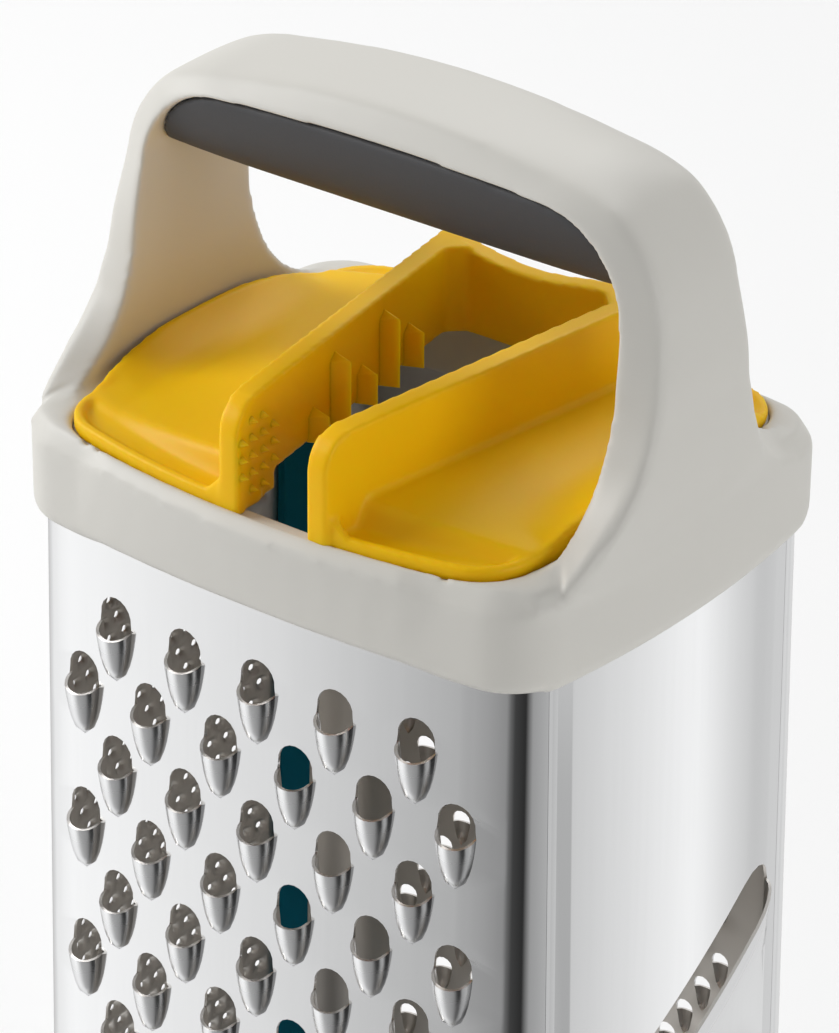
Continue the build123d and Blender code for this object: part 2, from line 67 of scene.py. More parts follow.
class GraterSizes(bpy.types.PropertyGroup):
    """Sizes of the pieces that are modelled here."""

    body_width: length("Body width", "Width of the steel at its top edge", 103.3)
    body_depth: length("Body depth", "Depth of the steel at its top edge", 83.1)
    body_bottom: length("Body bottom", "Height of the sheet's lower edge", 4.0)
    body_top: length("Body top", "Height of the sheet's upper edge", 192.0)
    body_flare: length("Body flare", "How far each side leans out from top to bottom", 3.3)
    front_bulge: length("Front bulge", "Radius of the front and back faces", 352.0)
    side_bulge: length("Side bulge", "Radius of the left and right faces", 210.0)
    corner: length("Corner radius", "Radius of the four bends", 9.0)
    sheet: length("Sheet thickness", "Thickness of the steel", 0.5)
    coarse_hole: length("Coarse hole", "Radius of the coarse holes", 3.5)
    medium_hole: length("Medium hole", "Radius of the medium holes", 1.9)
    fine_hole: length("Fine hole", "Radius of the fine holes", 0.9)
    blade_rise: length("Blade rise", "How far a slicing blade stands out", 2.8)
    guard_width: length("Guard width", "Width of the finger guard", 92.0)
    guard_depth: length("Guard depth", "Depth of the finger guard at its middle", 87.2)
    guard_front: length("Guard front", "Radius of the guard's front and back edges", 150.0)
    guard_side: length("Guard side", "Radius of the guard's left and right edges", 210.0)
    guard_corner: length("Guard corner", "Radius of the guard's corners", 10.0)
    guard_low: length("Guard underside", "Height of the guard's lower edge", 196.0)
    bead_top: length("Bead", "Height of the bead at the front and back", 198.8)
    saddle_top: length("Saddle", "Height of the bead at the middle of the sides", 202.9)
    gutter: length("Gutter", "Height of the strip inside the bead", 197.5)
    floor_high: length("Floor at the walls", "Height of the tray floor at the channel", 202.2)
    floor_low: length("Floor at the sides", "Height of the tray floor at the outside", 198.9)
    tray_thick: length("Tray", "Thickness of the tray floor", 2.2)
    wall_top: length("Wall top", "Height of the channel walls", 214.6)
    wall_low: length("Wall underside", "Lower edge of the channel walls", 199.2)
    wall_thick: length("Wall", "Thickness of the channel walls", 3.8)
    wall_round: length("Wall rounding", "Radius of the walls' front corners", 6.0)


class GraterColours(bpy.types.PropertyGroup):
    """Colours of the finishes."""

    steel: colour("Steel", "Polished steel", (0.78, 0.785, 0.79))
    frame: colour("Frame", "Pale moulding", (0.66, 0.645, 0.60))
    grip: colour("Grip", "Soft grip", (0.058, 0.058, 0.062))
    guard: colour("Guard", "Finger guard", (0.90, 0.525, 0.002))
    strip: colour("Seam strip", "Strip inside the fine face", (0.001, 0.17, 0.27))
    floor: colour("Floor", "Floor and backdrop", (0.93, 0.93, 0.93))


def sizes():
    return bpy.context.scene.grater_sizes


def colours():
    return bpy.context.scene.grater_colours


# Modelling helpers

def deselect():
    """Nothing is selected and nothing is in edit mode."""
    if bpy.context.object and bpy.context.object.mode != "OBJECT":
        bpy.ops.object.mode_set(mode="OBJECT")
    bpy.ops.object.select_all(action="DESELECT")


def activate(piece):
    deselect()
    piece.select_set(True)
    bpy.context.view_layer.objects.active = piece


def points(piece):
    """Vertex positions of a piece as an array."""
    spots = np.empty(len(piece.data.vertices) * 3)
    piece.data.vertices.foreach_get("co", spots)
    return spots.reshape(-1, 3)


def move_points(piece, spots):
    piece.data.vertices.foreach_set("co", np.ascontiguousarray(spots, dtype=np.float64).ravel())
    piece.data.update()


def edit(piece, mode="VERT"):
    """Enters edit mode on one piece with nothing selected."""
    activate(piece)
    bpy.ops.object.mode_set(mode="EDIT")
    bpy.ops.mesh.select_mode(type=mode)
    bpy.ops.mesh.select_all(action="DESELECT")


def pick(piece, chosen, mode="VERT"):
    """Selects vertices, edges or faces of the piece in edit mode from a list of true and false."""
    bpy.ops.object.mode_set(mode="OBJECT")
    mesh = piece.data
    for group in (mesh.vertices, mesh.edges, mesh.polygons):
        group.foreach_set("select", np.zeros(len(group), bool))
    group = {"VERT": mesh.vertices, "EDGE": mesh.edges, "FACE": mesh.polygons}[mode]
    group.foreach_set("select", np.asarray(chosen, bool))
    bpy.ops.object.mode_set(mode="EDIT")
    bpy.ops.mesh.select_mode(type=mode)


def open_edges(piece, test):
    """Picks the open border edges whose two ends both pass a test on their positions."""
    bpy.ops.object.mode_set(mode="OBJECT")
    mesh = piece.data
    ends = np.empty(len(mesh.edges) * 2, int)
    mesh.edges.foreach_get("vertices", ends)
    ends = ends.reshape(-1, 2)
    used = np.zeros(len(mesh.edges), int)
    loops = np.empty(len(mesh.loops), int)
    mesh.loops.foreach_get("edge_index", loops)
    np.add.at(used, loops, 1)
    good = test(points(piece))
    pick(piece, (used < 2) & good[ends[:, 0]] & good[ends[:, 1]], "EDGE")


def merge(piece, distance=NEAR):
    edit(piece)
    bpy.ops.mesh.select_all(action="SELECT")
    bpy.ops.mesh.remove_doubles(threshold=distance)
    bpy.ops.object.mode_set(mode="OBJECT")


def face_outward(piece):
    edit(piece)
    bpy.ops.mesh.select_all(action="SELECT")
    bpy.ops.mesh.normals_make_consistent(inside=False)
    bpy.ops.object.mode_set(mode="OBJECT")


def extruded(piece, height):
    """Makes a flat piece a solid by extruding all of it up or down."""
    edit(piece)
    bpy.ops.mesh.select_all(action="SELECT")
    bpy.ops.mesh.extrude_region_move(TRANSFORM_OT_translate={"value": (0, 0, height)})
    bpy.ops.object.mode_set(mode="OBJECT")
    face_outward(piece)
    return piece


def add_modifier(piece, kind, **values):
    """Adds a modifier, sets it and applies it."""
    activate(piece)
    modifier = piece.modifiers.new(kind.title(), kind)
    for name, value in values.items():
        setattr(modifier, name, value)
    bpy.ops.object.modifier_apply(modifier=modifier.name)


def settle(piece):
    """Puts the piece's place into its mesh."""
    activate(piece)
    bpy.ops.object.transform_apply(location=True, rotation=True, scale=True)


def smooth(piece, degrees=35.0):
    activate(piece)
    bpy.ops.object.shade_smooth_by_angle(angle=math.radians(degrees))


def join(pieces, name):
    deselect()
    for piece in pieces:
        piece.select_set(True)
    bpy.context.view_layer.objects.active = pieces[0]
    bpy.ops.object.join()
    result = bpy.context.object
    result.name = name
    return result


def copy_of(piece, name):
    twin = piece.copy()
    twin.data = piece.data.copy()
    twin.name = name
    bpy.context.scene.collection.objects.link(twin)
    return twin


def soften(piece, voxel, rounds, keep, skinned=None, smoothed=None):
    """Gives a solid, or overlapping solids, soft edges: one skin, smoothed and thinned out.

    The last two shape the new skin further, before and after it is smoothed.
    """
    add_modifier(piece, "REMESH", mode="VOXEL", voxel_size=voxel)
    if skinned:
        skinned(piece)
    add_modifier(piece, "SMOOTH", factor=0.5, iterations=rounds)
    if smoothed:
        smoothed(piece)
    add_modifier(piece, "DECIMATE", ratio=keep)
    activate(piece)
    bpy.ops.object.shade_smooth()


def graph(values, *pairs):
    """Reads values off a graph that is given by pairs of a place and a height."""
    return np.interp(values, *zip(*pairs))


def finish_piece(piece, body, material, slot, *nodes):
    """Gives a piece its material, its body and the CAD nodes that it stands for."""
    piece.data.materials.clear()
    piece.data.materials.append(material)
    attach(piece, body)
    if nodes:
        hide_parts(*nodes)
    return piece


# The steel's outline

def corner_arcs(half_w, half_d, front_r, side_r, corner_r):
    """Centre of the corner arc and the turn at which it starts and ends, on the front right."""
    front_c = Vector((0, front_r - half_d))
    side_c = Vector((half_w - side_r, 0))
    reach_1 = front_r - corner_r
    reach_2 = side_r - corner_r
    apart = side_c - front_c
    along = (reach_1 ** 2 - reach_2 ** 2 + apart.length ** 2) / (2 * apart.length)
    across = math.sqrt(reach_1 ** 2 - along ** 2)
    way = apart.normalized()
    options = [front_c + along * way + sign * across * Vector((way.y, -way.x)) for sign in (1, -1)]
    centre = max(options, key=lambda p: p.x - p.y)
    first = math.atan2(centre.x - front_c.x, front_c.y - centre.y)
    last = math.atan2(centre.x - side_c.x, side_c.y - centre.y)
    return centre, front_c, side_c, first, last


class Wrap:
    """Wraps a flat sheet round the body: x runs round it from the front's middle, y is height, z is out."""

    def __init__(self):
        s = sizes()
        self.front_r, self.side_r, self.corner_r = s.front_bulge, s.side_bulge, s.corner
        self.half_w, self.half_d = s.body_width / 2, s.body_depth / 2
        arcs = corner_arcs(self.half_w, self.half_d, self.front_r, self.side_r, self.corner_r)
        self.centre, self.front_c, self.side_c, self.first, self.last = arcs
        self.front_run = self.front_r * self.first
        self.corner_run = self.corner_r * (self.last - self.first)
        self.side_run = self.side_r * (math.pi / 2 - self.last)
        self.quarter = self.front_run + self.corner_run + self.side_run
        self.top = s.body_top
        self.lean = s.body_flare / (s.body_top - s.body_bottom)

    def __call__(self, flat):
        run = np.mod(flat[:, 0], 4 * self.quarter)
        part = np.floor(run / self.quarter).astype(int)
        rest = run - part * self.quarter
        odd = part % 2 == 1
        rest = np.where(odd, self.quarter - rest, rest)
        turn = np.where(
            rest < self.front_run, rest / self.front_r,
            np.where(rest < self.front_run + self.corner_run,
                     self.first + (rest - self.front_run) / self.corner_r,
                     self.last + (rest - self.front_run - self.corner_run) / self.side_r))
        centres = np.where((turn < self.first)[:, None], np.array(self.front_c),
                           np.where((turn < self.last)[:, None],
                                    np.array(self.centre), np.array(self.side_c)))
        radius = np.where(turn < self.first, self.front_r,
                          np.where(turn < self.last, self.corner_r, self.side_r))
        out = np.stack([np.sin(turn), -np.cos(turn)], 1)
        reach = radius + flat[:, 2] + self.lean * (self.top - flat[:, 1])
        spot = centres + out * reach[:, None]
        x_sign = np.where((part == 2) | (part == 3), -1.0, 1.0)
        y_sign = np.where((part == 1) | (part == 2), -1.0, 1.0)
        return np.stack([spot[:, 0] * x_sign, spot[:, 1] * y_sign, flat[:, 1]], 1)


# Perforated zones of the flat sheet

def half_height(holes, share):
    """Half the height of a cell at a share of its width: cells are bowed so that their rows nest."""
    return holes.row / 2 + holes.bow * (0.5 - 2 * np.abs(share))


def blank_cell(holes, name, half=False):
    """One cell of the flat sheet with no hole, or the right half of one."""
    deselect()
    bpy.ops.mesh.primitive_grid_add(x_subdivisions=holes.steps // 2 if half else holes.steps,
                                    y_subdivisions=holes.steps, size=1)
    cell = bpy.context.object
    cell.name = name
    spots = points(cell)
    if half:
        spots[:, 0] = spots[:, 0] / 2 + 0.25
    high = half_height(holes, spots[:, 0])
    spots[:, 0] *= holes.pitch
    spots[:, 1] = -high + (spots[:, 1] + 0.5) * 2 * high
    move_points(cell, spots)
    return cell


def scoop_cell(holes):
    """A cell with one round hole and the raised half bullet under it."""
    hole, drop, centre_y = holes.radius, holes.drop, holes.centre_y
    slight = hole * 0.001
    mouth_share, mouth_rise, mouth_turn = 0.96, 0.5, 0.45
    flattening, lip_share = 0.84, 0.35
    cell = blank_cell(holes, "scoop")
    edit(cell)
    spots = points(cell)
    high = half_height(holes, spots[:, 0] / holes.pitch)
    inner = np.abs(spots[:, 0]) < holes.pitch * 0.499
    inner &= np.abs(spots[:, 1]) < high - holes.row * 0.01
    pick(cell, inner)
    bpy.ops.mesh.delete(type="VERT")
    bpy.ops.mesh.select_all(action="SELECT")
    bpy.ops.mesh.delete(type="ONLY_FACE")
    bpy.ops.mesh.select_all(action="DESELECT")
    # Only the cell's border is left; the ring put into it gets the open mouth above and the bullet below
    bpy.ops.mesh.primitive_circle_add(vertices=4 * holes.steps, radius=hole, fill_type="NOTHING")
    bpy.ops.object.mode_set(mode="OBJECT")
    spots = points(cell)
    ring = np.abs(np.hypot(spots[:, 0], spots[:, 1]) - hole) < slight
    low, high = ring & (spots[:, 1] < -slight), ring & (spots[:, 1] > slight)
    turn = np.arctan2(spots[:, 1], spots[:, 0])
    depth = np.where(low, 1 - np.abs(turn + math.pi / 2) / (math.pi / 2), 0)
    side = np.sign(np.where(np.abs(spots[:, 0]) < slight, 0, spots[:, 0]))
    spots[:, 0] = np.where(low, side * hole * bullet_width(depth), spots[:, 0])
    spots[:, 1] = np.where(low, -drop * depth, spots[:, 1])
    open_turn = -mouth_turn + turn * (math.pi + 2 * mouth_turn) / math.pi
    spots[:, 0] = np.where(high, hole * mouth_share * np.cos(open_turn), spots[:, 0])
    spots[:, 1] = np.where(high, hole * (mouth_rise + mouth_share * np.sin(open_turn)), spots[:, 1])
    spots[ring, 1] += centre_y
    move_points(cell, spots)
    bpy.ops.object.mode_set(mode="EDIT")
    bpy.ops.mesh.select_all(action="SELECT")
    bpy.ops.mesh.bridge_edge_loops()
    bpy.ops.object.mode_set(mode="OBJECT")
    # The bullet's right outline is spun over to its left one
    pick(cell, ring_chain(points(cell), hole, drop, centre_y))
    bpy.ops.mesh.duplicate()
    bpy.ops.mesh.spin(steps=holes.steps * 2, angle=math.pi, center=(0, centre_y, 0), axis=(0, 1, 0))
    bpy.ops.mesh.select_all(action="SELECT")
    bpy.ops.mesh.remove_doubles(threshold=0.002 * MM)
    bpy.ops.object.mode_set(mode="OBJECT")
    spots = points(cell)
    raised = spots[:, 2] > 0.001 * MM
    tilt = np.clip(1 + (spots[:, 1] - centre_y) / (drop * lip_share), 0, 1)
    spots[:, 1] -= np.where(raised, spots[:, 2] * holes.lip * tilt, 0)
    spots[:, 2] = np.where(raised, spots[:, 2] * flattening, spots[:, 2])
    move_points(cell, spots)
    face_outward(cell)
    return cell


def bullet_width(depth):
    """Half width of the bullet, as a share of the hole's radius, from its mouth to its tip."""
    roundness, narrowing = 2.6, 0.2
    return np.sqrt(np.clip(1 - depth ** roundness, 0, 1)) * (1 - narrowing * depth)


def ring_chain(spots, hole, drop, centre_y):
    """The right half of the bullet's outline in the sheet, from the hole's side to the tip."""
    hair = 0.001 * MM
    depth = np.clip((centre_y - spots[:, 1]) / drop, 0, 1)
    near = np.abs(spots[:, 0] - hole * bullet_width(depth)) < 20 * hair
    below = (spots[:, 1] <= centre_y + hair) & (spots[:, 1] >= centre_y - drop - hair)
    return near & below & (np.abs(spots[:, 2]) < hair)


def crater_cell(holes):
    """A small cell with a punched hole whose burr stands out."""
    foot_share, top_share = 1.75, 0.57
    cell = blank_cell(holes, "crater")
    edit(cell)
    pick(cell, np.ones(len(cell.data.polygons), bool), "FACE")
    bpy.ops.mesh.delete(type="ONLY_FACE")
    pick(cell, np.hypot(points(cell)[:, 0], points(cell)[:, 1]) < holes.pitch * 0.1)
    bpy.ops.mesh.delete(type="VERT")
    bpy.ops.mesh.primitive_circle_add(vertices=8, radius=holes.radius * foot_share, fill_type="NOTHING")
    bpy.ops.mesh.select_all(action="SELECT")
    bpy.ops.mesh.bridge_edge_loops()
    bpy.ops.object.mode_set(mode="OBJECT")
    spots = points(cell)
    pick(cell, np.hypot(spots[:, 0], spots[:, 1]) < holes.radius * (foot_share + 0.05))
    bpy.ops.mesh.select_mode(type="EDGE")
    bpy.ops.mesh.extrude_region_move(TRANSFORM_OT_translate={"value": (0, 0, holes.rise)})
    bpy.ops.transform.resize(value=(top_share, top_share, 1.0), center_override=(0, 0, 0))
    bpy.ops.object.mode_set(mode="OBJECT")
    face_outward(cell)
    return cell


def row_of_cells(cell, holes, count, rows):
    """Copies of a cell in a straight row, repeated on every other row."""
    for copies, way in ((count, (holes.pitch, 0, 0)), (rows, (0, -2 * holes.row, 0))):
        if copies > 1:
            add_modifier(cell, "ARRAY", count=copies, use_relative_offset=False, use_constant_offset=True,
                         constant_offset_displace=way, use_merge_vertices=True, merge_threshold=0.005 * MM)


def shifted(piece, x, y):
    spots = points(piece)
    spots[:, 0] += x
    spots[:, 1] += y
    move_points(piece, spots)
    return piece


def zone(holes, cell):
    """A staggered block of cells: short rows are filled up with half blank cells at both ends."""
    blank = blank_cell(holes, "blank", half=True)
    short, long = copy_of(cell, "short"), copy_of(cell, "long")
    right, left = copy_of(blank, "end"), copy_of(blank, "start")
    spots = points(right)
    spots[:, 0] *= -1
    move_points(right, spots)
    short_rows, long_rows = (holes.rows + 1) // 2, holes.rows // 2
    row_of_cells(short, holes, holes.across, short_rows)
    row_of_cells(long, holes, holes.across + 1, long_rows)
    row_of_cells(left, holes, 1, short_rows)
    row_of_cells(right, holes, 1, short_rows)
    start = holes.middle - (holes.across - 1) / 2 * holes.pitch
    shifted(short, start, holes.first_y)
    shifted(long, start - holes.pitch / 2, holes.first_y - holes.row)
    shifted(left, start - holes.pitch, holes.first_y)
    shifted(right, start + holes.across * holes.pitch, holes.first_y)
    for piece in (cell, blank):
        bpy.data.objects.remove(piece)
    block = join([short, long, left, right], holes.name)
    merge(block, 2 * NEAR)
    return block


def pull_border(piece, side_test, axis, value):
    """Extrudes the open border that passes the test once, up to a value on one axis."""
    edit(piece, "EDGE")
    open_edges(piece, side_test)
    bpy.ops.mesh.extrude_region_move()
    bpy.ops.object.mode_set(mode="OBJECT")
    chosen = np.empty(len(piece.data.vertices), bool)
    piece.data.vertices.foreach_get("select", chosen)
    spots = points(piece)
    spots[chosen, axis] = value
    move_points(piece, spots)


def fill_to_edges(piece, holes, low, high, columns):
    """Carries a zone up and down to the sheet's edges, then sideways through the given columns."""
    spots = points(piece)
    x_low, x_high = spots[:, 0].min(), spots[:, 0].max()

    def on_border(p, way):
        """Points on the bowed top or bottom border of the zone."""
        shift = 0 if way > 0 or holes.rows % 2 else 0.5
        share = (p[:, 0] - holes.middle) / holes.pitch + shift
        share = np.abs(share - np.round(share))
        centre = holes.first_y if way > 0 else holes.first_y - (holes.rows - 1) * holes.row
        return np.abs(p[:, 1] - (centre + way * half_height(holes, share))) < NEAR

    pull_border(piece, lambda p: on_border(p, 1), 1, high)
    pull_border(piece, lambda p: on_border(p, -1), 1, low)
    for side, stops in ((x_low, columns[0]), (x_high, columns[1])):
        for stop in stops:
            pull_border(piece, lambda p, at=side: np.abs(p[:, 0] - at) < NEAR, 0, stop)
            side = stop


# Materials

def feed(tree, node, values):
    """Gives a node's inputs plain values or what other nodes put out."""
    for name, value in values.items():
        if isinstance(value, bpy.types.NodeSocket):
            tree.links.new(value, node.inputs[name])
        else:
            node.inputs[name].default_value = value


def add_node(tree, kind, values=None, **settings):
    """Adds a shader node with its settings and what its inputs are fed."""
    node = tree.nodes.new("ShaderNode" + kind)
    for name, value in settings.items():
        setattr(node, name, value)
    feed(tree, node, values or {})
    return node


def calculate(tree, operation, *values):
    return add_node(tree, "Math", dict(enumerate(values)), operation=operation).outputs[0]


def material(name):
    """A new material with one shader, and its tree and shader."""
    result = bpy.data.materials.new(name)
    result.use_nodes = True
    tree = result.node_tree
    tree.nodes.clear()
    shader = add_node(tree, "BsdfPrincipled")
    add_node(tree, "OutputMaterial", {"Surface": shader.outputs["BSDF"]})
    return result, tree, shader


def new_group(name, inputs, outputs):
    group = bpy.data.node_groups.new(name, "ShaderNodeTree")
    for label, kind, value in inputs:
        socket = group.interface.new_socket(name=label, in_out="INPUT", socket_type=kind)
        socket.default_value = value
    for label, kind in outputs:
        group.interface.new_socket(name=label, in_out="OUTPUT", socket_type=kind)
    return group, group.nodes.new("NodeGroupInput").outputs, group.nodes.new("NodeGroupOutput")


def moulded_group():
    """Fine moulded texture: a slight mottle in colour, roughness and height."""
    if "Moulded surface" in bpy.data.node_groups:
        return bpy.data.node_groups["Moulded surface"]
    group, start, end = new_group(
        "Moulded surface",
        [("Colour", "NodeSocketColor", (0.5, 0.5, 0.5, 1)), ("Roughness", "NodeSocketFloat", 0.5),
         ("Grain", "NodeSocketFloat", 1500.0), ("Mottle", "NodeSocketFloat", 0.03)],
        [("Colour", "NodeSocketColor"), ("Roughness", "NodeSocketFloat"), ("Height", "NodeSocketFloat")])
    place = add_node(group, "TexCoord").outputs["Object"]
    grain = add_node(group, "TexNoise", {"Vector": place, "Scale": start["Grain"], "Detail": 3})
    cloud = add_node(group, "TexNoise", {"Vector": place, "Scale": 38, "Detail": 4})
    swing = calculate(group, "MULTIPLY_ADD", cloud.outputs["Fac"], start["Mottle"], 0.985)
    tint = add_node(group, "VectorMath", {0: start["Colour"], "Scale": swing}, operation="SCALE")
    rough = calculate(group, "MULTIPLY_ADD", grain.outputs["Fac"], 0.08, start["Roughness"])
    feed(group, end, {"Colour": tint.outputs["Vector"], "Roughness": rough, "Height": grain.outputs["Fac"]})
    return group


def plastic(name, tint, roughness, grain, height, scatter=0.0, gloss=0.4):
    """Moulded plastic or rubber with its own grain; where light scatters in it, the red goes furthest."""
    result, tree, shader = material(name)
    surface = {"Colour": (*tint, 1), "Roughness": roughness, "Grain": grain, "Mottle": 0.03}
    group = add_node(tree, "Group", surface, node_tree=moulded_group()).outputs
    bump = add_node(tree, "Bump", {"Strength": 0.6, "Distance": height, "Height": group["Height"]})
    feed(tree, shader, {
        "Base Color": group["Colour"], "Roughness": group["Roughness"], "Normal": bump.outputs["Normal"],
        "Specular IOR Level": gloss,
    })
    if scatter:
        feed(tree, shader, {
            "Subsurface Weight": scatter, "Subsurface Radius": (1.0, 0.45, 0.08),
            "Subsurface Scale": 2.5 * MM,
        })
    return result


def polished_steel(name, tint, roughness):
    """Mirror-polished sheet with faint rolling streaks and hair scratches.

    Its inner side, its cut edges and its leaning faces are duller, and a reflection seen in a reflection
    is painted darker: a painted shade that stands in for the shade inside the body.
    """
    # The last tint is painted shade, mixed in for reflections seen in reflections
    dull_roughness, inner_tint, reflection_shade_tint = 0.38, (0.66, 0.63, 0.59, 1), (0.12, 0.10, 0.10, 1)
    result, tree, shader = material(name)

    def grow(value, low, high, most=1.0, least=0.0):
        """Goes from its least to its most while a value goes from low to high."""
        values = {"Value": value, "From Min": low, "From Max": high, "To Min": least, "To Max": most}
        return add_node(tree, "MapRange", values).outputs["Result"]

    def mixed(share, first, second, kind="RGBA"):
        values = {"Factor": share, "A": first, "B": second}
        return add_node(tree, "Mix", values, data_type=kind).outputs["Result"]

    place = add_node(tree, "TexCoord").outputs
    turned = add_node(tree, "Mapping", {"Vector": place["Object"], "Scale": (900, 900, 14)}).outputs["Vector"]
    streak = add_node(tree, "TexNoise", {"Vector": turned, "Scale": 1.0, "Detail": 3}).outputs["Fac"]
    cloud = add_node(tree, "TexNoise", {"Vector": place["Object"], "Scale": 26}).outputs["Fac"]
    across = add_node(tree, "VectorMath", {0: place["Object"], 1: (1, 1, 0)}, operation="MULTIPLY")
    facing = add_node(tree, "VectorMath", {0: across.outputs[0], 1: place["Normal"]}, operation="DOT_PRODUCT")
    upward = add_node(tree, "SeparateXYZ", {0: place["Normal"]}).outputs["Z"]
    wear = calculate(tree, "MULTIPLY", streak, cloud)
    inner_side = grow(facing.outputs["Value"], -0.002, -0.008)
    cut_edge = grow(upward, 0.6, 0.8, 0.75)
    leaning = grow(upward, -0.06, -0.16, 0.75)
    dull = calculate(tree, "MAXIMUM", inner_side, cut_edge)
    duller = calculate(tree, "MAXIMUM", dull, leaning)
    worn_roughness = grow(wear, 0.0, 1.0, roughness * 1.6, roughness * 0.7)
    worn_tint = mixed(wear, (*tint, 1), (*(value * 0.95 for value in tint), 1))
    # Painted shade: from the second glossy bounce on, the steel's colour is mixed toward a dark tint
    repeated = grow(add_node(tree, "LightPath").outputs["Glossy Depth"], 0.5, 2.5, 0.8)
    bump = add_node(tree, "Bump", {"Strength": 0.25, "Distance": 0.0015 * MM, "Height": streak})
    feed(tree, shader, {
        "Metallic": 1.0,
        "Roughness": mixed(duller, worn_roughness, dull_roughness, "FLOAT"),
        "Base Color": mixed(dull, mixed(repeated, worn_tint, reflection_shade_tint), inner_tint),
        "Normal": bump.outputs["Normal"],
    })
    return result


def finish_of(kind):
    """Each finish is made once."""
    c = colours()
    finishes = {
        "steel": lambda n: polished_steel(n, tuple(c.steel), 0.09),
        "screws": lambda n: polished_steel(n, (0.55, 0.56, 0.57), 0.3),
        "frame": lambda n: plastic(n, tuple(c.frame), 0.42, 1800, 0.02 * MM),
        "soft_grip": lambda n: plastic(n, tuple(c.grip), 0.55, 2600, 0.04 * MM),
        "core": lambda n: plastic(n, (0.06, 0.06, 0.065), 0.5, 1500, 0.02 * MM),
        "guard": lambda n: plastic(n, tuple(c.guard), 0.38, 2000, 0.012 * MM, scatter=0.45, gloss=0.16),
        "strip": lambda n: plastic(n, tuple(c.strip), 0.5, 1500, 0.01 * MM, gloss=0.1),
        "foot": lambda n: plastic(n, tuple(c.grip), 0.6, 1800, 0.04 * MM),
    }
    label = "Grater " + kind
    return bpy.data.materials.get(label) or finishes[kind](label)


# Operators

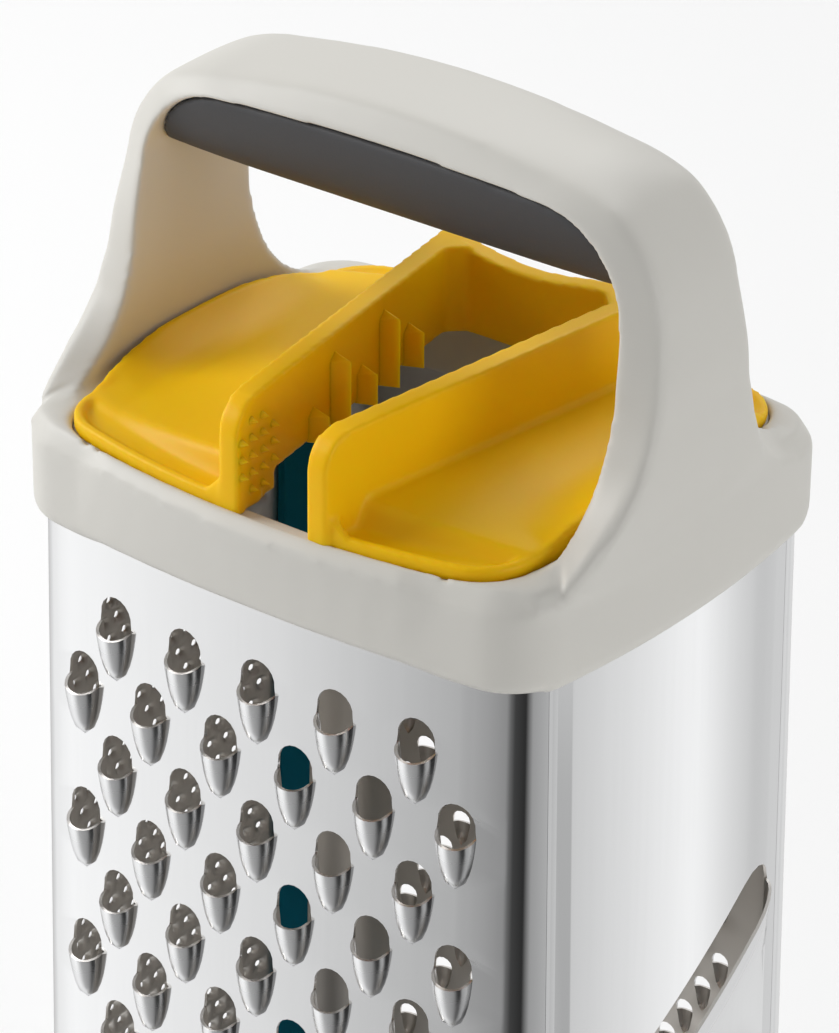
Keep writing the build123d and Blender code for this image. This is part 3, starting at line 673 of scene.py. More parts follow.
class GRATER_OT_steel_body(bpy.types.Operator):
    """Bend the perforated steel sheet round the body"""

    bl_idname = "grater.steel_body"
    bl_label = "Steel body"

    slot_half = 32 * MM
    seam = 28.6 * MM
    seam_gap = 0.4 * MM

    def patterns(self, quarter):
        """The holes of the three perforated faces, each round its own middle of the flat sheet."""
        s = sizes()
        coarse = SimpleNamespace(
            name="coarse", pitch=15 * MM, row=12.6 * MM, bow=4 * MM, steps=6, rows=11, across=5,
            first_y=164 * MM, middle=0.7 * MM, radius=s.coarse_hole, drop=9.9 * MM, centre_y=2.2 * MM,
            lip=0.38)
        medium = SimpleNamespace(
            name="medium", pitch=7.5 * MM, row=6.5 * MM, bow=1.4 * MM, steps=4, rows=22, across=9,
            first_y=169 * MM, middle=2 * quarter, radius=s.medium_hole, drop=4.6 * MM, centre_y=1.1 * MM,
            lip=0.3)
        fine = SimpleNamespace(
            name="fine", pitch=4.1 * MM, row=3.7 * MM, bow=0, steps=2, rows=37, across=12,
            first_y=168 * MM, middle=3 * MM - quarter, radius=s.fine_hole, rise=0.55 * MM)
        return coarse, medium, fine

    def execute(self, context):
        s = sizes()
        wrap = Wrap()
        quarter, back = wrap.quarter, 2 * wrap.quarter
        low, high = s.body_bottom, s.body_top
        coarse_holes, medium_holes, fine_holes = self.patterns(quarter)
        coarse = zone(coarse_holes, scoop_cell(coarse_holes))
        medium = zone(medium_holes, scoop_cell(medium_holes))
        fine = zone(fine_holes, crater_cell(fine_holes))
        bend_rest, least_step = 1 * MM, 0.3 * MM
        bend = np.linspace(wrap.front_run - bend_rest, wrap.front_run + wrap.corner_run + bend_rest, 15)
        fine_high = points(fine)[:, 0].max()
        fill_to_edges(fine, fine_holes, low, high, ([-quarter - self.seam], []))
        edge = points(coarse)[:, 0].max()
        inside = [x for x in bend if x > edge + least_step]
        fill_to_edges(coarse, coarse_holes, low, high, ([-x for x in inside], inside))
        medium_low, medium_high = points(medium)[:, 0].min(), points(medium)[:, 0].max()
        steps_left = [back - x for x in bend if back - x < medium_low - least_step]
        steps_right = [back + x for x in bend if back + x > medium_high + least_step]
        last = 3 * quarter - self.seam - self.seam_gap
        fill_to_edges(medium, medium_holes, low, high, (steps_left, steps_right + [last - 3 * MM, last]))
        panel = self.blade_panel(quarter, low, high)
        body = join([fine, coarse, medium, panel], "steel_body")
        self.close_gap(body, fine_high, -inside[-1])
        self.close_gap(body, inside[-1], quarter - self.slot_half)
        self.close_gap(body, quarter + self.slot_half, steps_left[-1])
        merge(body, 2 * NEAR)
        move_points(body, wrap(points(body)))
        face_outward(body)
        add_modifier(body, "SOLIDIFY", thickness=s.sheet, offset=-1.0, use_even_offset=False)
        smooth(body, 40)
        finish_piece(body, "grater", finish_of("steel"), "steel", "body_sheet")
        return {"FINISHED"}

    def close_gap(self, body, left, right):
        """Bridges the plain strip between two borders of the flat sheet."""
        edit(body, "EDGE")
        open_edges(body, lambda p: (np.abs(p[:, 0] - left) < NEAR) | (np.abs(p[:, 0] - right) < NEAR))
        bpy.ops.mesh.bridge_edge_loops()
        bpy.ops.object.mode_set(mode="OBJECT")

    def blade_panel(self, middle_x, low, high):
        """The slicing face: a plain panel with two slanting slots and the blade under each."""
        end, drop, taper_run = 27.5 * MM, 31 * MM, 8 * MM
        slant = drop / (2 * end)
        upright = math.sqrt(1 + slant ** 2)
        gap, run = 6.5 * MM * upright, 11 * MM * upright
        slot_middles = (105.4 * MM, 63.4 * MM)
        hair = 1e-7
        deselect()
        bpy.ops.mesh.primitive_plane_add(size=1)
        panel = bpy.context.object
        panel.name = "panel"
        columns = np.linspace(-self.slot_half, self.slot_half, 15)
        near_end = [end - step * MM for step in (0, 0.6, 1.6, 3.2, 5.4, 8.0)]
        plain = [x for x in columns if not end - 10 * MM < abs(x) < end + 1.5 * MM]
        xs = sorted(plain + near_end + [-x for x in near_end])

        def taper(x):
            """The slot narrows in a curve at both ends."""
            left = min(max((end - abs(x)) / taper_run, 0), 1)
            return math.sqrt(1 - (1 - left) ** 2)

        levels = [(high, 0, 0)]
        for middle in slot_middles:
            edge = middle - gap / 2
            levels += [(edge, slant, gap), (edge, slant, 0), (edge - run, slant, 0)]
        levels.append((low, 0, 0))
        mesh = bmesh.new()
        grid = [[mesh.verts.new((x, y + lean * x + wide * taper(x), 0)) for x in xs]
                for y, lean, wide in levels]
        for level in range(len(levels) - 1):
            on_slot = 0 < level < len(levels) - 1 and (level - 1) % 3 < 2
            for at in range(len(xs) - 1):
                if on_slot and xs[at] >= -end - hair and xs[at + 1] <= end + hair:
                    continue
                upper, under = grid[level], grid[level + 1]
                mesh.faces.new((upper[at], under[at], under[at + 1], upper[at + 1]))
        inner = [at for at, x in enumerate(xs) if -end - hair <= x <= end + hair]
        for number in range(len(slot_middles)):
            edge_line, foot_line = grid[2 + 3 * number], grid[3 + 3 * number]
            foot = [foot_line[at] for at in inner]
            lip = []
            for at in inner:
                x, y, _ = edge_line[at].co
                lip.append(mesh.verts.new((x, y, sizes().blade_rise * taper(x))))
            for at in range(len(inner) - 1):
                mesh.faces.new((lip[at], foot[at], foot[at + 1], lip[at + 1]))
        bmesh.ops.remove_doubles(mesh, verts=mesh.verts, dist=NEAR)
        mesh.to_mesh(panel.data)
        mesh.free()
        return shifted(panel, middle_x, 0)


class GRATER_OT_finger_guard(bpy.types.Operator):
    """Model the finger guard with its dished trays and its toothed channel"""

    bl_idname = "grater.finger_guard"
    bl_label = "Finger guard"

    # Where the channel's left and right face stand at the guard's front and at the channel's back, in
    # millimetres, and how many of the small teeth, one column, the right wall goes without
    channel = {-1: (-1.6, -13.0), 1: (11.6, 20.4)}
    channel_back = 24.5
    teeth_left_out = 3
    bead_inset = 1.8 * MM
    heel_length = 11.3 * MM

    def execute(self, context):
        parts = [self.rim(), self.floor(-1), self.floor(1), self.back_floor(), self.back_wall()]
        for sign in (-1, 1):
            parts += [self.wall(sign), self.foot_fillet(sign), self.back_fillet(sign)]
        guard = join(parts, "guard")
        soften(guard, 0.5 * MM, 5, 0.45)
        teeth = [self.ridge(sign, y, top) for sign in (-1, 1) for y, top in self.ridge_spots()]
        teeth += [self.tooth(-1, y, z) for y, z in self.tooth_spots()]
        teeth += [self.tooth(1, y, z) for y, z in self.tooth_spots()[self.teeth_left_out:]]
        teeth = join(teeth, "teeth")
        smooth(teeth, 30)
        guard = join([guard, teeth], "guard")
        finish_piece(guard, "guard", finish_of("guard"), "guard", "finger_guard")
        return {"FINISHED"}

    def channel_x(self, sign, y):
        """Where the channel's face on this side is at a depth."""
        front, back = self.channel[sign]
        half = sizes().guard_depth / 2 / MM
        share = (y / MM + half) / (self.channel_back + half)
        return (front + (back - front) * share) * MM

    def edge_y(self, x):
        """How far the outline reaches forward at a width."""
        s = sizes()
        return s.guard_depth / 2 - s.guard_front + np.sqrt(s.guard_front ** 2 - np.square(x))

    def edge_x(self, y):
        s = sizes()
        return s.guard_width / 2 - s.guard_side + np.sqrt(s.guard_side ** 2 - np.square(y))

    def arcs(self):
        s = sizes()
        return corner_arcs(s.guard_width / 2, s.guard_depth / 2, s.guard_front, s.guard_side, s.guard_corner)

    def outline(self, inset):
        """The guard's outline without the channel's mouth, from its left end round to its right end."""
        s = sizes()
        centre, front_c, side_c, first, last = self.arcs()
        front = -s.guard_depth / 2

        def quarter(start, count):
            spots = []
            for turns, at, radius in (
                (np.linspace(start, first, count), front_c, s.guard_front),
                (np.linspace(first, last, 12)[1:], centre, s.guard_corner),
                (np.linspace(last, math.pi / 2, 16)[1:], side_c, s.guard_side),
            ):
                spots += [(at.x + (radius - inset) * math.sin(t), at.y - (radius - inset) * math.cos(t))
                          for t in turns]
            return np.array(spots)

        left = quarter(-(self.channel_x(-1, front) - 0.6 * MM) / s.guard_front, 24)
        right = quarter((self.channel_x(1, front) + 0.6 * MM) / s.guard_front, 20)
        back = quarter(0, 26)
        return np.vstack([left * (-1, 1), back[-2::-1] * (-1, -1), back[1:] * (1, -1), right[-2::-1]])

    def bead_height(self, spots):
        """The bead rises in a saddle along the two sides."""
        s = sizes()
        half_saddle, roundness, back_drop = 31 * MM, 2.6, 0.8 * MM
        share = np.clip(1 - (np.abs(spots[:, 1]) / half_saddle) ** roundness, 0, 1)
        low = s.bead_top - 1.3 * MM
        back = back_drop * np.clip(spots[:, 1] / (30 * MM), 0, 1)
        return np.maximum(s.bead_top - back, low + (s.saddle_top - low) * share)

    def rim(self):
        """The bar round the edge with the bead on it; along the sides it has no gutter."""
        s = sizes()
        section = [(0, "low"), (0, "bead"), (1.4, "bead"), (2.1, "gutter"), (6.5, "gutter"), (6.5, "low")]
        side_reach = 28 * MM
        outer = self.outline(0)
        count = len(outer)
        deselect()
        bpy.ops.mesh.primitive_grid_add(x_subdivisions=count - 1, y_subdivisions=len(section), size=1)
        rim = bpy.context.object
        spots = points(rim).reshape(len(section) + 1, count, 3)
        for row, (inset, level) in enumerate(section + section[:1]):
            line = self.outline(inset * MM)
            gutter = np.where(np.abs(line[:, 1]) < side_reach, s.guard_low, s.gutter)
            heights = {"low": s.guard_low, "bead": self.bead_height(outer), "gutter": gutter}
            spots[row, :, :2] = line
            spots[row, :, 2] = heights[level]
        move_points(rim, spots.reshape(-1, 3))
        merge(rim)
        self.cap(rim)
        return rim

    def cap(self, piece):
        """Closes every open end and turns the faces outward."""
        edit(piece, "EDGE")
        open_edges(piece, lambda p: np.ones(len(p), bool))
        bpy.ops.mesh.edge_face_add()
        bpy.ops.object.mode_set(mode="OBJECT")
        face_outward(piece)

    def floor_height(self, x, y, wall_x):
        """The dished floor: high at the wall, low at the side, down to the gutter at both ends."""
        s = sizes()
        bead, gutter_width, end_slope, side_slope = 1.4 * MM, 5.2 * MM, 2.8 * MM, 10.5 * MM
        across = np.clip((np.abs(x - wall_x)) / (30 * MM), 0, 1)
        plateau = s.floor_high + (s.floor_low - s.floor_high) * across
        ends = self.edge_y(x) - np.abs(y)
        step = np.clip((ends - gutter_width) / end_slope, 0, 1)
        step = step * step * (3 - 2 * step)
        height = s.gutter + (plateau - s.gutter) * step
        side = np.clip(1 - (self.edge_x(y) - np.abs(x) - bead) / side_slope, 0, 1)
        spots = np.stack([np.full_like(y, s.guard_width / 2), y], 1)
        rise = np.maximum(self.bead_height(spots) - s.bead_top, 0)
        share = np.clip(rise / (1.5 * MM), 0, 1)
        return height + np.maximum(s.bead_top + rise - 0.1 * MM - height, 0) * side ** 1.7 * share

    def slab(self, name, left, right, front, back, wall_x):
        """A floor slab between two widths and two depths, given as functions."""
        s = sizes()
        deselect()
        bpy.ops.mesh.primitive_grid_add(x_subdivisions=48, y_subdivisions=90, size=1)
        slab = bpy.context.object
        slab.name = name
        spots = points(slab)
        u, v = spots[:, 0] + 0.5, spots[:, 1] + 0.5
        rough = (v - 0.5) * s.guard_depth * 0.9
        x = left(rough) + (right(rough) - left(rough)) * u
        y = front(x) + (back(x) - front(x)) * v
        corner_x, corner_y = self.arcs()[0].x, -self.arcs()[0].y
        over_x, over_y = np.maximum(np.abs(x) - corner_x, 0), np.maximum(np.abs(y) - corner_y, 0)
        far = np.hypot(over_x, over_y)
        limit = s.guard_corner - 0.6 * MM
        pull = np.where(far > limit, limit / np.maximum(far, 1e-9), 1)
        both = (over_x > 0) & (over_y > 0)
        x = np.where(both, np.sign(x) * (corner_x + over_x * pull), x)
        y = np.where(both, np.sign(y) * (corner_y + over_y * pull), y)
        move_points(slab, np.stack([x, y, self.floor_height(x, y, wall_x(y))], 1))
        return extruded(slab, -s.tray_thick)

    def floor(self, sign):
        """One tray, from the channel's wall to just inside the guard's edge."""
        def side(y):
            return sign * (self.edge_x(y) - 0.8 * MM)

        def middle(y):
            return self.wall_middle(sign, y)

        left, right = (side, middle) if sign < 0 else (middle, side)
        return self.slab("tray", left, right, lambda x: self.bead_inset - self.edge_y(x),
                         lambda x: self.edge_y(x) - self.bead_inset,
                         lambda y: middle(np.minimum(y, self.channel_back * MM)))

    def wall_middle(self, sign, y):
        return self.channel_x(sign, y) + sign * sizes().wall_thick / 2

    def back_floor(self):
        """The strip of floor behind the channel that joins the two trays."""
        at, overlap = self.channel_back * MM, 4 * MM
        left, right = self.wall_middle(-1, at) - overlap, self.wall_middle(1, at) + overlap
        start, middle_x = (self.channel_back + 1.5) * MM, 4 * MM
        return self.slab("link", lambda y: 0 * y + left, lambda y: 0 * y + right, lambda x: 0 * x + start,
                         lambda x: self.edge_y(x) - self.bead_inset, lambda y: 0 * y + middle_x)

    def block(self, name, plan, low, high):
        """A prism over a plan of four corners."""
        deselect()
        bpy.ops.mesh.primitive_plane_add(size=1)
        block = bpy.context.object
        block.name = name
        turns = points(block)
        order = np.argsort(np.arctan2(turns[:, 1], turns[:, 0]))
        for place, at in zip(plan, order):
            turns[at] = (*place, low)
        move_points(block, turns)
        return extruded(block, high - low)

    def wall(self, sign):
        """A channel wall with its upper front corner rounded and a heel under its front."""
        s = sizes()
        front, back = -s.guard_depth / 2, (self.channel_back + 3) * MM
        inner = [(self.channel_x(sign, y), y) for y in (front, back)]
        outer = [(x + sign * s.wall_thick, y) for x, y in inner]
        wall = self.block("wall", (inner[0], inner[1], outer[1], outer[0]), s.wall_low, s.wall_top)
        spots = points(wall)
        top = (spots[:, 2] > s.wall_top - 1e-6) & (spots[:, 1] < front + 1e-6)
        pick(wall, [top[e.vertices[0]] and top[e.vertices[1]] for e in wall.data.edges], "EDGE")
        bpy.ops.mesh.bevel(offset=s.wall_round, segments=8, affect="EDGES")
        bpy.ops.object.mode_set(mode="OBJECT")
        heel = front + self.heel_length
        at = self.channel_x(sign, heel)
        foot = self.block("foot", (inner[0], (at, heel), (at + sign * s.wall_thick, heel), outer[0]),
                          s.guard_low, s.wall_low + 1 * MM)
        return join([wall, foot], "wall")

    def back_wall(self):
        """The wall behind the channel, whose top edge dips in the middle."""
        s = sizes()
        middle_x, half_dip, deepest = 1 * MM, 13 * MM, 1.8 * MM
        near, far = self.channel_back * MM, self.channel_back * MM + s.wall_thick
        left, right = self.channel_x(-1, near) - s.wall_thick, self.channel_x(1, near) + s.wall_thick
        wall = self.block("back wall", ((left, near), (right, near), (right, far), (left, far)),
                          s.wall_low, s.wall_top)
        edit(wall)
        bpy.ops.mesh.select_all(action="SELECT")
        bpy.ops.mesh.subdivide(number_cuts=9)
        bpy.ops.object.mode_set(mode="OBJECT")
        spots = points(wall)
        dip = deepest * np.clip(1 - ((spots[:, 0] - middle_x) / half_dip) ** 2, 0, 1)
        spots[:, 2] -= dip * (spots[:, 2] - s.wall_low) / (s.wall_top - s.wall_low)
        move_points(wall, spots)
        return wall

    def foot_fillet(self, sign):
        """The soft corner between a wall's front and the bead."""
        s = sizes()
        x = self.channel_x(sign, -s.guard_depth / 2) + sign * (s.wall_thick - 0.5 * MM)
        y = -self.edge_y(x)
        wide, near_y, far_y = 3.4 * MM, y + 0.3 * MM, y + 1.7 * MM
        plan = ((x, near_y), (x + sign * wide, near_y), (x + sign * wide, far_y), (x, far_y))
        fillet = self.block("fillet", plan, s.gutter, s.bead_top)
        spots = points(fillet)
        near = (np.abs(spots[:, 0] - x) < 1e-6) & (spots[:, 2] > s.bead_top - 1e-6)
        spots[near, 2] += wide
        move_points(fillet, spots)
        return fillet

    def back_fillet(self, sign):
        """Fills the inner corner between a side wall and the back wall."""
        s = sizes()
        near = self.channel_back * MM
        leg, sunk = 3.2 * MM, 1 * MM
        x = self.channel_x(sign, near)
        far = near + sunk
        plan = ((x, near - leg), (x - sign * leg, near), (x - sign * leg, far), (x + sign * sunk, far))
        return self.block("corner", plan, s.wall_low, s.wall_top)

    def ridge_spots(self):
        """Depth and top of the tall ridges."""
        return [(-21.2 * MM, 204.9 * MM), (-14.5 * MM, 211.5 * MM), (-6 * MM, 205.6 * MM),
                (1.2 * MM, 212.1 * MM), (9.2 * MM, 206.4 * MM)]

    def tooth_spots(self):
        """Depth and height of the small teeth, in staggered columns."""
        step = 2.9
        result = []
        for y, first, count in ((-42.3, 208.2, 3), (-39.4, 210.8, 5), (-36.1, 210.3, 5), (-33.0, 207.4, 3)):
            result += [(y * MM, (first - step * row) * MM) for row in range(count)]
        return result

    def on_wall(self, sign, y):
        """A point on the channel's face and the direction into the channel."""
        x = self.channel_x(sign, y)
        along = Vector((self.channel_x(sign, y + MM) - x, MM, 0)).normalized()
        return Vector((x, y, 0)), along, Vector((along.y, -along.x, 0)) * -sign

    def ridge(self, sign, y, top):
        """A slender ridge of V section whose top slants to the front, with a fine edge round it."""
        wall_low = sizes().wall_low
        reach, half_width, sunk, crest_drop, tail_drop = 3.3 * MM, 0.9 * MM, 0.3 * MM, 0.8 * MM, 1.5 * MM
        spot, along, out = self.on_wall(sign, y)
        deselect()
        bpy.ops.mesh.primitive_cylinder_add(vertices=3, radius=1, depth=2)
        ridge = bpy.context.object
        spots = points(ridge)
        turn = np.arctan2(spots[:, 0], spots[:, 1])
        for at in range(len(spots)):
            upper = spots[at, 2] > 0
            if abs(turn[at]) < 0.1:
                place = spot + out * reach + Vector((0, 0, top - crest_drop if upper else wall_low))
            else:
                side = 1 if turn[at] * sign < 0 else -1
                height = top - (0 if side > 0 else tail_drop) if upper else wall_low
                place = spot + along * side * half_width - out * sunk + Vector((0, 0, height))
            spots[at] = place
        move_points(ridge, spots)
        face_outward(ridge)
        edit(ridge, "FACE")
        pick(ridge, [face.center.z > top - 1.2 * MM for face in ridge.data.polygons], "FACE")
        bpy.ops.mesh.bevel(offset=0.16 * MM, segments=2, affect="EDGES")
        bpy.ops.object.mode_set(mode="OBJECT")
        return ridge

    def tooth(self, sign, y, z):
        """A small pointed tooth."""
        radius, height, standing = 0.85 * MM, 1.7 * MM, 0.45 * MM
        spot, _, out = self.on_wall(sign, y)
        deselect()
        bpy.ops.mesh.primitive_cone_add(vertices=8, radius1=radius, depth=height,
                                        location=spot + out * standing + Vector((0, 0, z)),
                                        rotation=out.to_track_quat("Z", "Y").to_euler())
        tooth = bpy.context.object
        settle(tooth)
        return tooth


class GRATER_OT_mouldings(bpy.types.Operator):
    """Soften the edges of the mouldings whose shape is right otherwise"""

    bl_idname = "grater.mouldings"
    bl_label = "Mouldings"

    def belly(self, piece):
        """Lets the band's front and back bow out toward the middle and lifts its lower edge there."""
        bow, half_span, furthest = 2.5 * MM, 37 * MM, 47.1 * MM
        wall_in, wall_out, web_top, band_top = 30 * MM, 42.4 * MM, 194.05 * MM, 197.5 * MM
        spots = points(piece)
        x, y, z = (spots[:, axis].copy() for axis in range(3))
        depth = np.abs(y)
        share = np.clip(1 - (x / half_span) ** 2, 0, 1)
        outside = depth > wall_out
        lower = np.clip((z - 178 * MM) / (16 * MM), 0.35, 1)
        moved = (z < band_top) & (depth > wall_in) & ((z > web_top) | outside)
        spots[:, 1] += np.where(moved, np.sign(y) * bow * share * lower, 0)
        spots[:, 1] = np.clip(spots[:, 1], -furthest, furthest)
        lift = np.where(depth > 34 * MM, 1.4 * MM + 1.1 * MM * share, 0.7 * MM)
        spots[:, 2] += lift * np.clip((187 * MM - z) / (9 * MM), 0, 1)
        crease = (np.abs(z - 193.6 * MM) < 0.2 * MM) & (outside | (np.abs(x) > 52 * MM))
        spots[:, 2] += np.where(crease, 1.5 * MM, 0)
        move_points(piece, spots)

    def close_bores(self, piece):
        """The screw bores can't be seen, so they end flat under the arch."""
        bore_x, reach, mouth, end = 24 * MM, 3.6 * MM, 248.6 * MM, 251.9 * MM
        spots = points(piece)
        x, y, z = spots.T
        near = (np.abs(np.abs(x) - bore_x) < reach) & (np.abs(y) < reach)
        spots[near & (z > mouth) & (z < end), 2] = mouth
        move_points(piece, spots)

    def lift_grip(self, piece):
        """Raises the underside of the soft grip by a millimetre."""
        spots = points(piece)
        spots[:, 2] += 1 * MM * np.clip((237 * MM - spots[:, 2]) / (5 * MM), 0, 1)
        move_points(piece, spots)

    def spread(self, piece):
        """Spreads the legs, draws their feet forward and lets the crown drop toward its ends."""
        spots = points(piece)
        x, y, z = (spots[:, axis] / MM for axis in range(3))
        side, depth = np.abs(x), np.abs(y)
        outer = np.clip((side - 46.3) / 5.2, 0, 1)
        out = graph(z, (197, 0), (201, 0.4), (205, 1.1), (212, 1.9), (218, 2.2), (222, 2.0), (226, 1.5),
                    (232, 0.9), (240, 0.6), (245, 0))
        spots[:, 0] += np.sign(x) * out * outer * MM
        wide = graph(z, (197, 0), (205, 1.0), (212, 1.6), (222, 1.2), (232, 0))
        spots[:, 1] += np.sign(y) * np.clip(depth / 6, 0, 1) * wide * MM * np.where(side > 40, 1, 0)
        foot = graph(z, (193, 0), (194.4, 4.2), (196.4, 7.8), (198.4, 8.5), (201, 8.0), (205, 5.4),
                     (210, 3.0), (216, 1.8), (222, 0.9), (230, 0))
        room = np.clip((41 - depth) / 17, 0, 1) * np.clip(-y / 6, 0, 1)
        spots[:, 1] -= foot * outer * room * MM
        top = graph(side, (0, 253.2), (24, 252.7), (32, 252), (36, 251.3), (40, 250), (44, 248), (48, 244))
        share = np.clip((z - top + 5.4) / 5.4, 0, 1) * np.clip((z - 236) / 6, 0, 1)
        drop = graph(side, (0, 0.25), (8, 0.4), (16, 0.75), (24, 1.4), (28, 1.8), (32, 2.1), (36, 2.0),
                     (40, 1.5), (44, 0.5), (48, 0))
        spots[:, 2] -= drop * share * np.clip(0.3 + 0.7 * (y / 10) ** 2, 0, 1) * MM
        move_points(piece, spots)

    def round_outside(self, piece):
        """Rounds the arch's outer edges further than its inner ones."""
        levels, middle_z, foot_z, full_run = 10, 212 * MM, 200 * MM, 12 * MM
        normals = np.empty(len(piece.data.vertices) * 3)
        piece.data.vertices.foreach_get("normal", normals)
        spots = points(piece)
        away = spots - np.array((0, 0, middle_z))
        away[:, 1] = 0
        away /= np.maximum(np.linalg.norm(away, axis=1), 1e-6)[:, None]
        facing = (normals.reshape(-1, 3) * away).sum(axis=1)
        share = np.clip(0.5 + 2 * facing, 0, 1) * np.clip((spots[:, 2] - foot_z) / full_run, 0, 1)
        group = piece.vertex_groups.new(name="outside")
        for level in range(1, levels + 1):
            chosen = (share > (level - 0.5) / levels) & (share <= (level + 0.5) / levels)
            group.add(np.nonzero(chosen)[0].tolist(), level / levels, "REPLACE")
        add_modifier(piece, "SMOOTH", factor=0.5, iterations=16, vertex_group="outside")

    def execute(self, context):
        first = {"handle_frame": (self.belly, self.close_bores), "inner_collar": (self.belly,),
                 "grip_cover": (self.lift_grip,)}
        later = {"handle_frame": (self.spread, self.round_outside)}
        for node, slot, voxel, rounds, keep in (
            ("handle_frame", "frame", 0.65, 12, 0.5),
            ("grip_cover", "soft_grip", 0.6, 4, 0.4),
            ("base_ring", "frame", 0.7, 4, 0.3),
            ("inner_collar", "frame", 0.5, 2, 0.3),
        ):
            piece = copy_of(frame["nodes"][node], node + "_moulding")
            piece.parent = None
            piece.matrix_world = Matrix.Identity(4)
            merge(piece)
            for shape in first.get(node, ()):
                shape(piece)
            soften(piece, voxel * MM, rounds, keep, *later.get(node, ()))
            finish_piece(piece, "grater", finish_of(slot), slot, node)
        return {"FINISHED"}


class GRATER_OT_kept_nodes(bpy.types.Operator):
    """Give the nodes whose shape is right their finish"""

    bl_idname = "grater.kept_nodes"
    bl_label = "Kept nodes"

    kept = {
        "seam_strip": "strip", "foot_ring": "foot", "grip_core": "core", "grip_screws": "screws",
    }

    def execute(self, context):
        for name, kind in self.kept.items():
            node = frame["nodes"][name]
            node.data.materials.clear()
            node.data.materials.append(finish_of(kind))
        return {"FINISHED"}


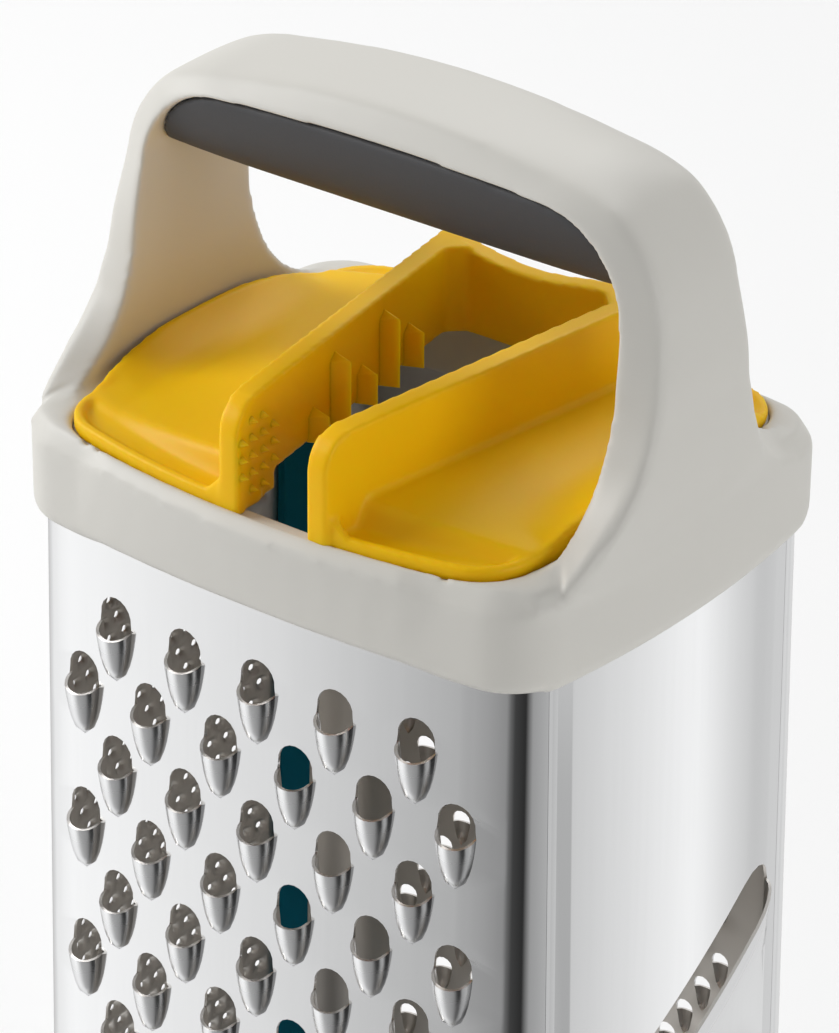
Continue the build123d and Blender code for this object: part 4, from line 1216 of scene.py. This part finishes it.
class GRATER_OT_stage(bpy.types.Operator):
    """Set the floor, the lights and the camera"""

    bl_idname = "grater.stage"
    bl_label = "Stage"

    aim_height = 0.15
    # The last is the share of the light that falls on dull surfaces
    brightest, sky_level, backdrop_level, dull_share = 1.2, 0.62, 0.947, 0.6
    # Brightness round the object by the turn from +X in degrees
    surroundings = (
        (-180, 1.0), (-145, brightest), (-128, 0.9), (-112, 0.48), (-62, 0.32), (-42, 0.06), (-22, 0.03),
        (-8, 0.4), (30, 0.54), (42, 0.80), (57, 1.15), (68, 0.66), (78, 0.85), (150, 0.6), (180, 1.0),
    )

    def execute(self, context):
        deselect()
        bpy.ops.mesh.primitive_plane_add(size=6)
        floor = bpy.context.object
        floor.name = "floor"
        finish, tree, shader = material("Pale floor")
        feed(tree, shader, {"Base Color": (*colours().floor, 1), "Roughness": 0.9})
        floor.data.materials.append(finish)
        floor.visible_glossy = False
        self.world(context.scene)
        for name, place, size, energy in (
            ("key light", (-1.25, -0.6, 0.95), 0.8, 17.0),
            ("side light", (1.5, -0.1, 0.45), 0.8, 6.0),
            ("back light", (-0.3, 1.0, 1.4), 0.9, 9.0),
        ):
            lamp = bpy.data.lights.new(name, "AREA")
            lamp.size = size
            lamp.energy = energy
            holder = bpy.data.objects.new(name, lamp)
            holder.location = place
            way = Vector((0, 0, self.aim_height)) - Vector(place)
            holder.rotation_euler = way.to_track_quat("-Z", "Y").to_euler()
            context.scene.collection.objects.link(holder)
        self.camera(context.scene)
        context.scene.view_settings.view_transform = "Standard"
        return {"FINISHED"}

    def world(self, scene):
        """Soft boxes and dark screens round the object, an even sky above and a plain backdrop."""
        world = bpy.data.worlds.new("Soft studio")
        world.use_nodes = True
        tree = world.node_tree
        tree.nodes.clear()
        way = add_node(tree, "SeparateXYZ", {0: add_node(tree, "TexCoord").outputs["Generated"]}).outputs
        turn = calculate(tree, "ARCTAN2", way["Y"], way["X"])
        ramp = add_node(tree, "ValToRGB", {"Fac": calculate(tree, "MULTIPLY_ADD", turn, 0.5 / math.pi, 0.5)})
        stops = ramp.color_ramp.elements
        for number, (degrees, value) in enumerate(self.surroundings):
            at = degrees / 360 + 0.5
            stop = stops.new(at) if 0 < number < len(self.surroundings) - 1 else stops[-1 if number else 0]
            stop.color = (*[value / self.brightest] * 3, 1)
        sides = calculate(tree, "MULTIPLY", ramp.outputs["Color"], self.brightest)
        above = add_node(tree, "MapRange", {"Value": way["Z"], "From Min": 0.1, "From Max": 0.65},
                         interpolation_type="SMOOTHSTEP").outputs["Result"]
        mixed = add_node(tree, "Mix", {"Factor": above, "A": sides, "B": self.sky_level}).outputs["Result"]
        path = add_node(tree, "LightPath").outputs
        share = calculate(tree, "MULTIPLY_ADD", path["Is Glossy Ray"], 1 - self.dull_share, self.dull_share)
        strength = calculate(tree, "MULTIPLY", mixed, share)
        light = add_node(tree, "Background", {"Color": (1, 1, 1, 1), "Strength": strength})
        plain = add_node(tree, "Background", {"Color": (*[self.backdrop_level] * 3, 1)})
        seen = {0: path["Is Camera Ray"], 1: light.outputs[0], 2: plain.outputs[0]}
        add_node(tree, "OutputWorld", {"Surface": add_node(tree, "MixShader", seen).outputs[0]})
        scene.world = world

    def camera(self, scene):
        """The camera that took the photograph, from its place and its three axes."""
        lens = bpy.data.cameras.new("camera")
        lens.sensor_width = 36
        lens.lens = 164.47
        lens.clip_start = 0.05
        holder = bpy.data.objects.new("camera", lens)
        right = Vector((0.79014797, 0.61284942, 0.00904277))
        up = Vector((-0.29410051, 0.36615758, 0.88285532))
        back = Vector((0.53774629, -0.70024582, 0.469558))
        turn = Matrix((right, up, back)).transposed().to_4x4()
        holder.matrix_world = Matrix.Translation((0.405039, -0.527861, 0.532648)) @ turn
        scene.collection.objects.link(holder)
        scene.camera = holder


class GRATER_PT_panel(bpy.types.Panel):
    """Lists the grater's pieces in the sidebar"""

    bl_label = "Box Grater"
    bl_idname = "GRATER_PT_panel"
    bl_space_type = "VIEW_3D"
    bl_region_type = "UI"
    bl_category = "Grater"

    def draw(self, context):
        for step in STEPS:
            self.layout.operator(step.bl_idname)
        for group in (context.scene.grater_sizes, context.scene.grater_colours):
            box = self.layout.box()
            for name in group.__annotations__:
                box.prop(group, name)


STEPS = (GRATER_OT_kept_nodes, GRATER_OT_mouldings, GRATER_OT_finger_guard, GRATER_OT_steel_body,
         GRATER_OT_stage)
CLASSES = (GraterSizes, GraterColours, *STEPS, GRATER_PT_panel)


def register():
    for entry in CLASSES:
        bpy.utils.register_class(entry)
    bpy.types.Scene.grater_sizes = PointerProperty(type=GraterSizes)
    bpy.types.Scene.grater_colours = PointerProperty(type=GraterColours)


def unregister():
    del bpy.types.Scene.grater_colours
    del bpy.types.Scene.grater_sizes
    for entry in reversed(CLASSES):
        bpy.utils.unregister_class(entry)


def main():
    register()
    bpy.ops.grater.kept_nodes()
    bpy.ops.grater.mouldings()
    bpy.ops.grater.finger_guard()
    bpy.ops.grater.steel_body()
    bpy.ops.grater.stage()


if __name__ == "__main__":
    main()
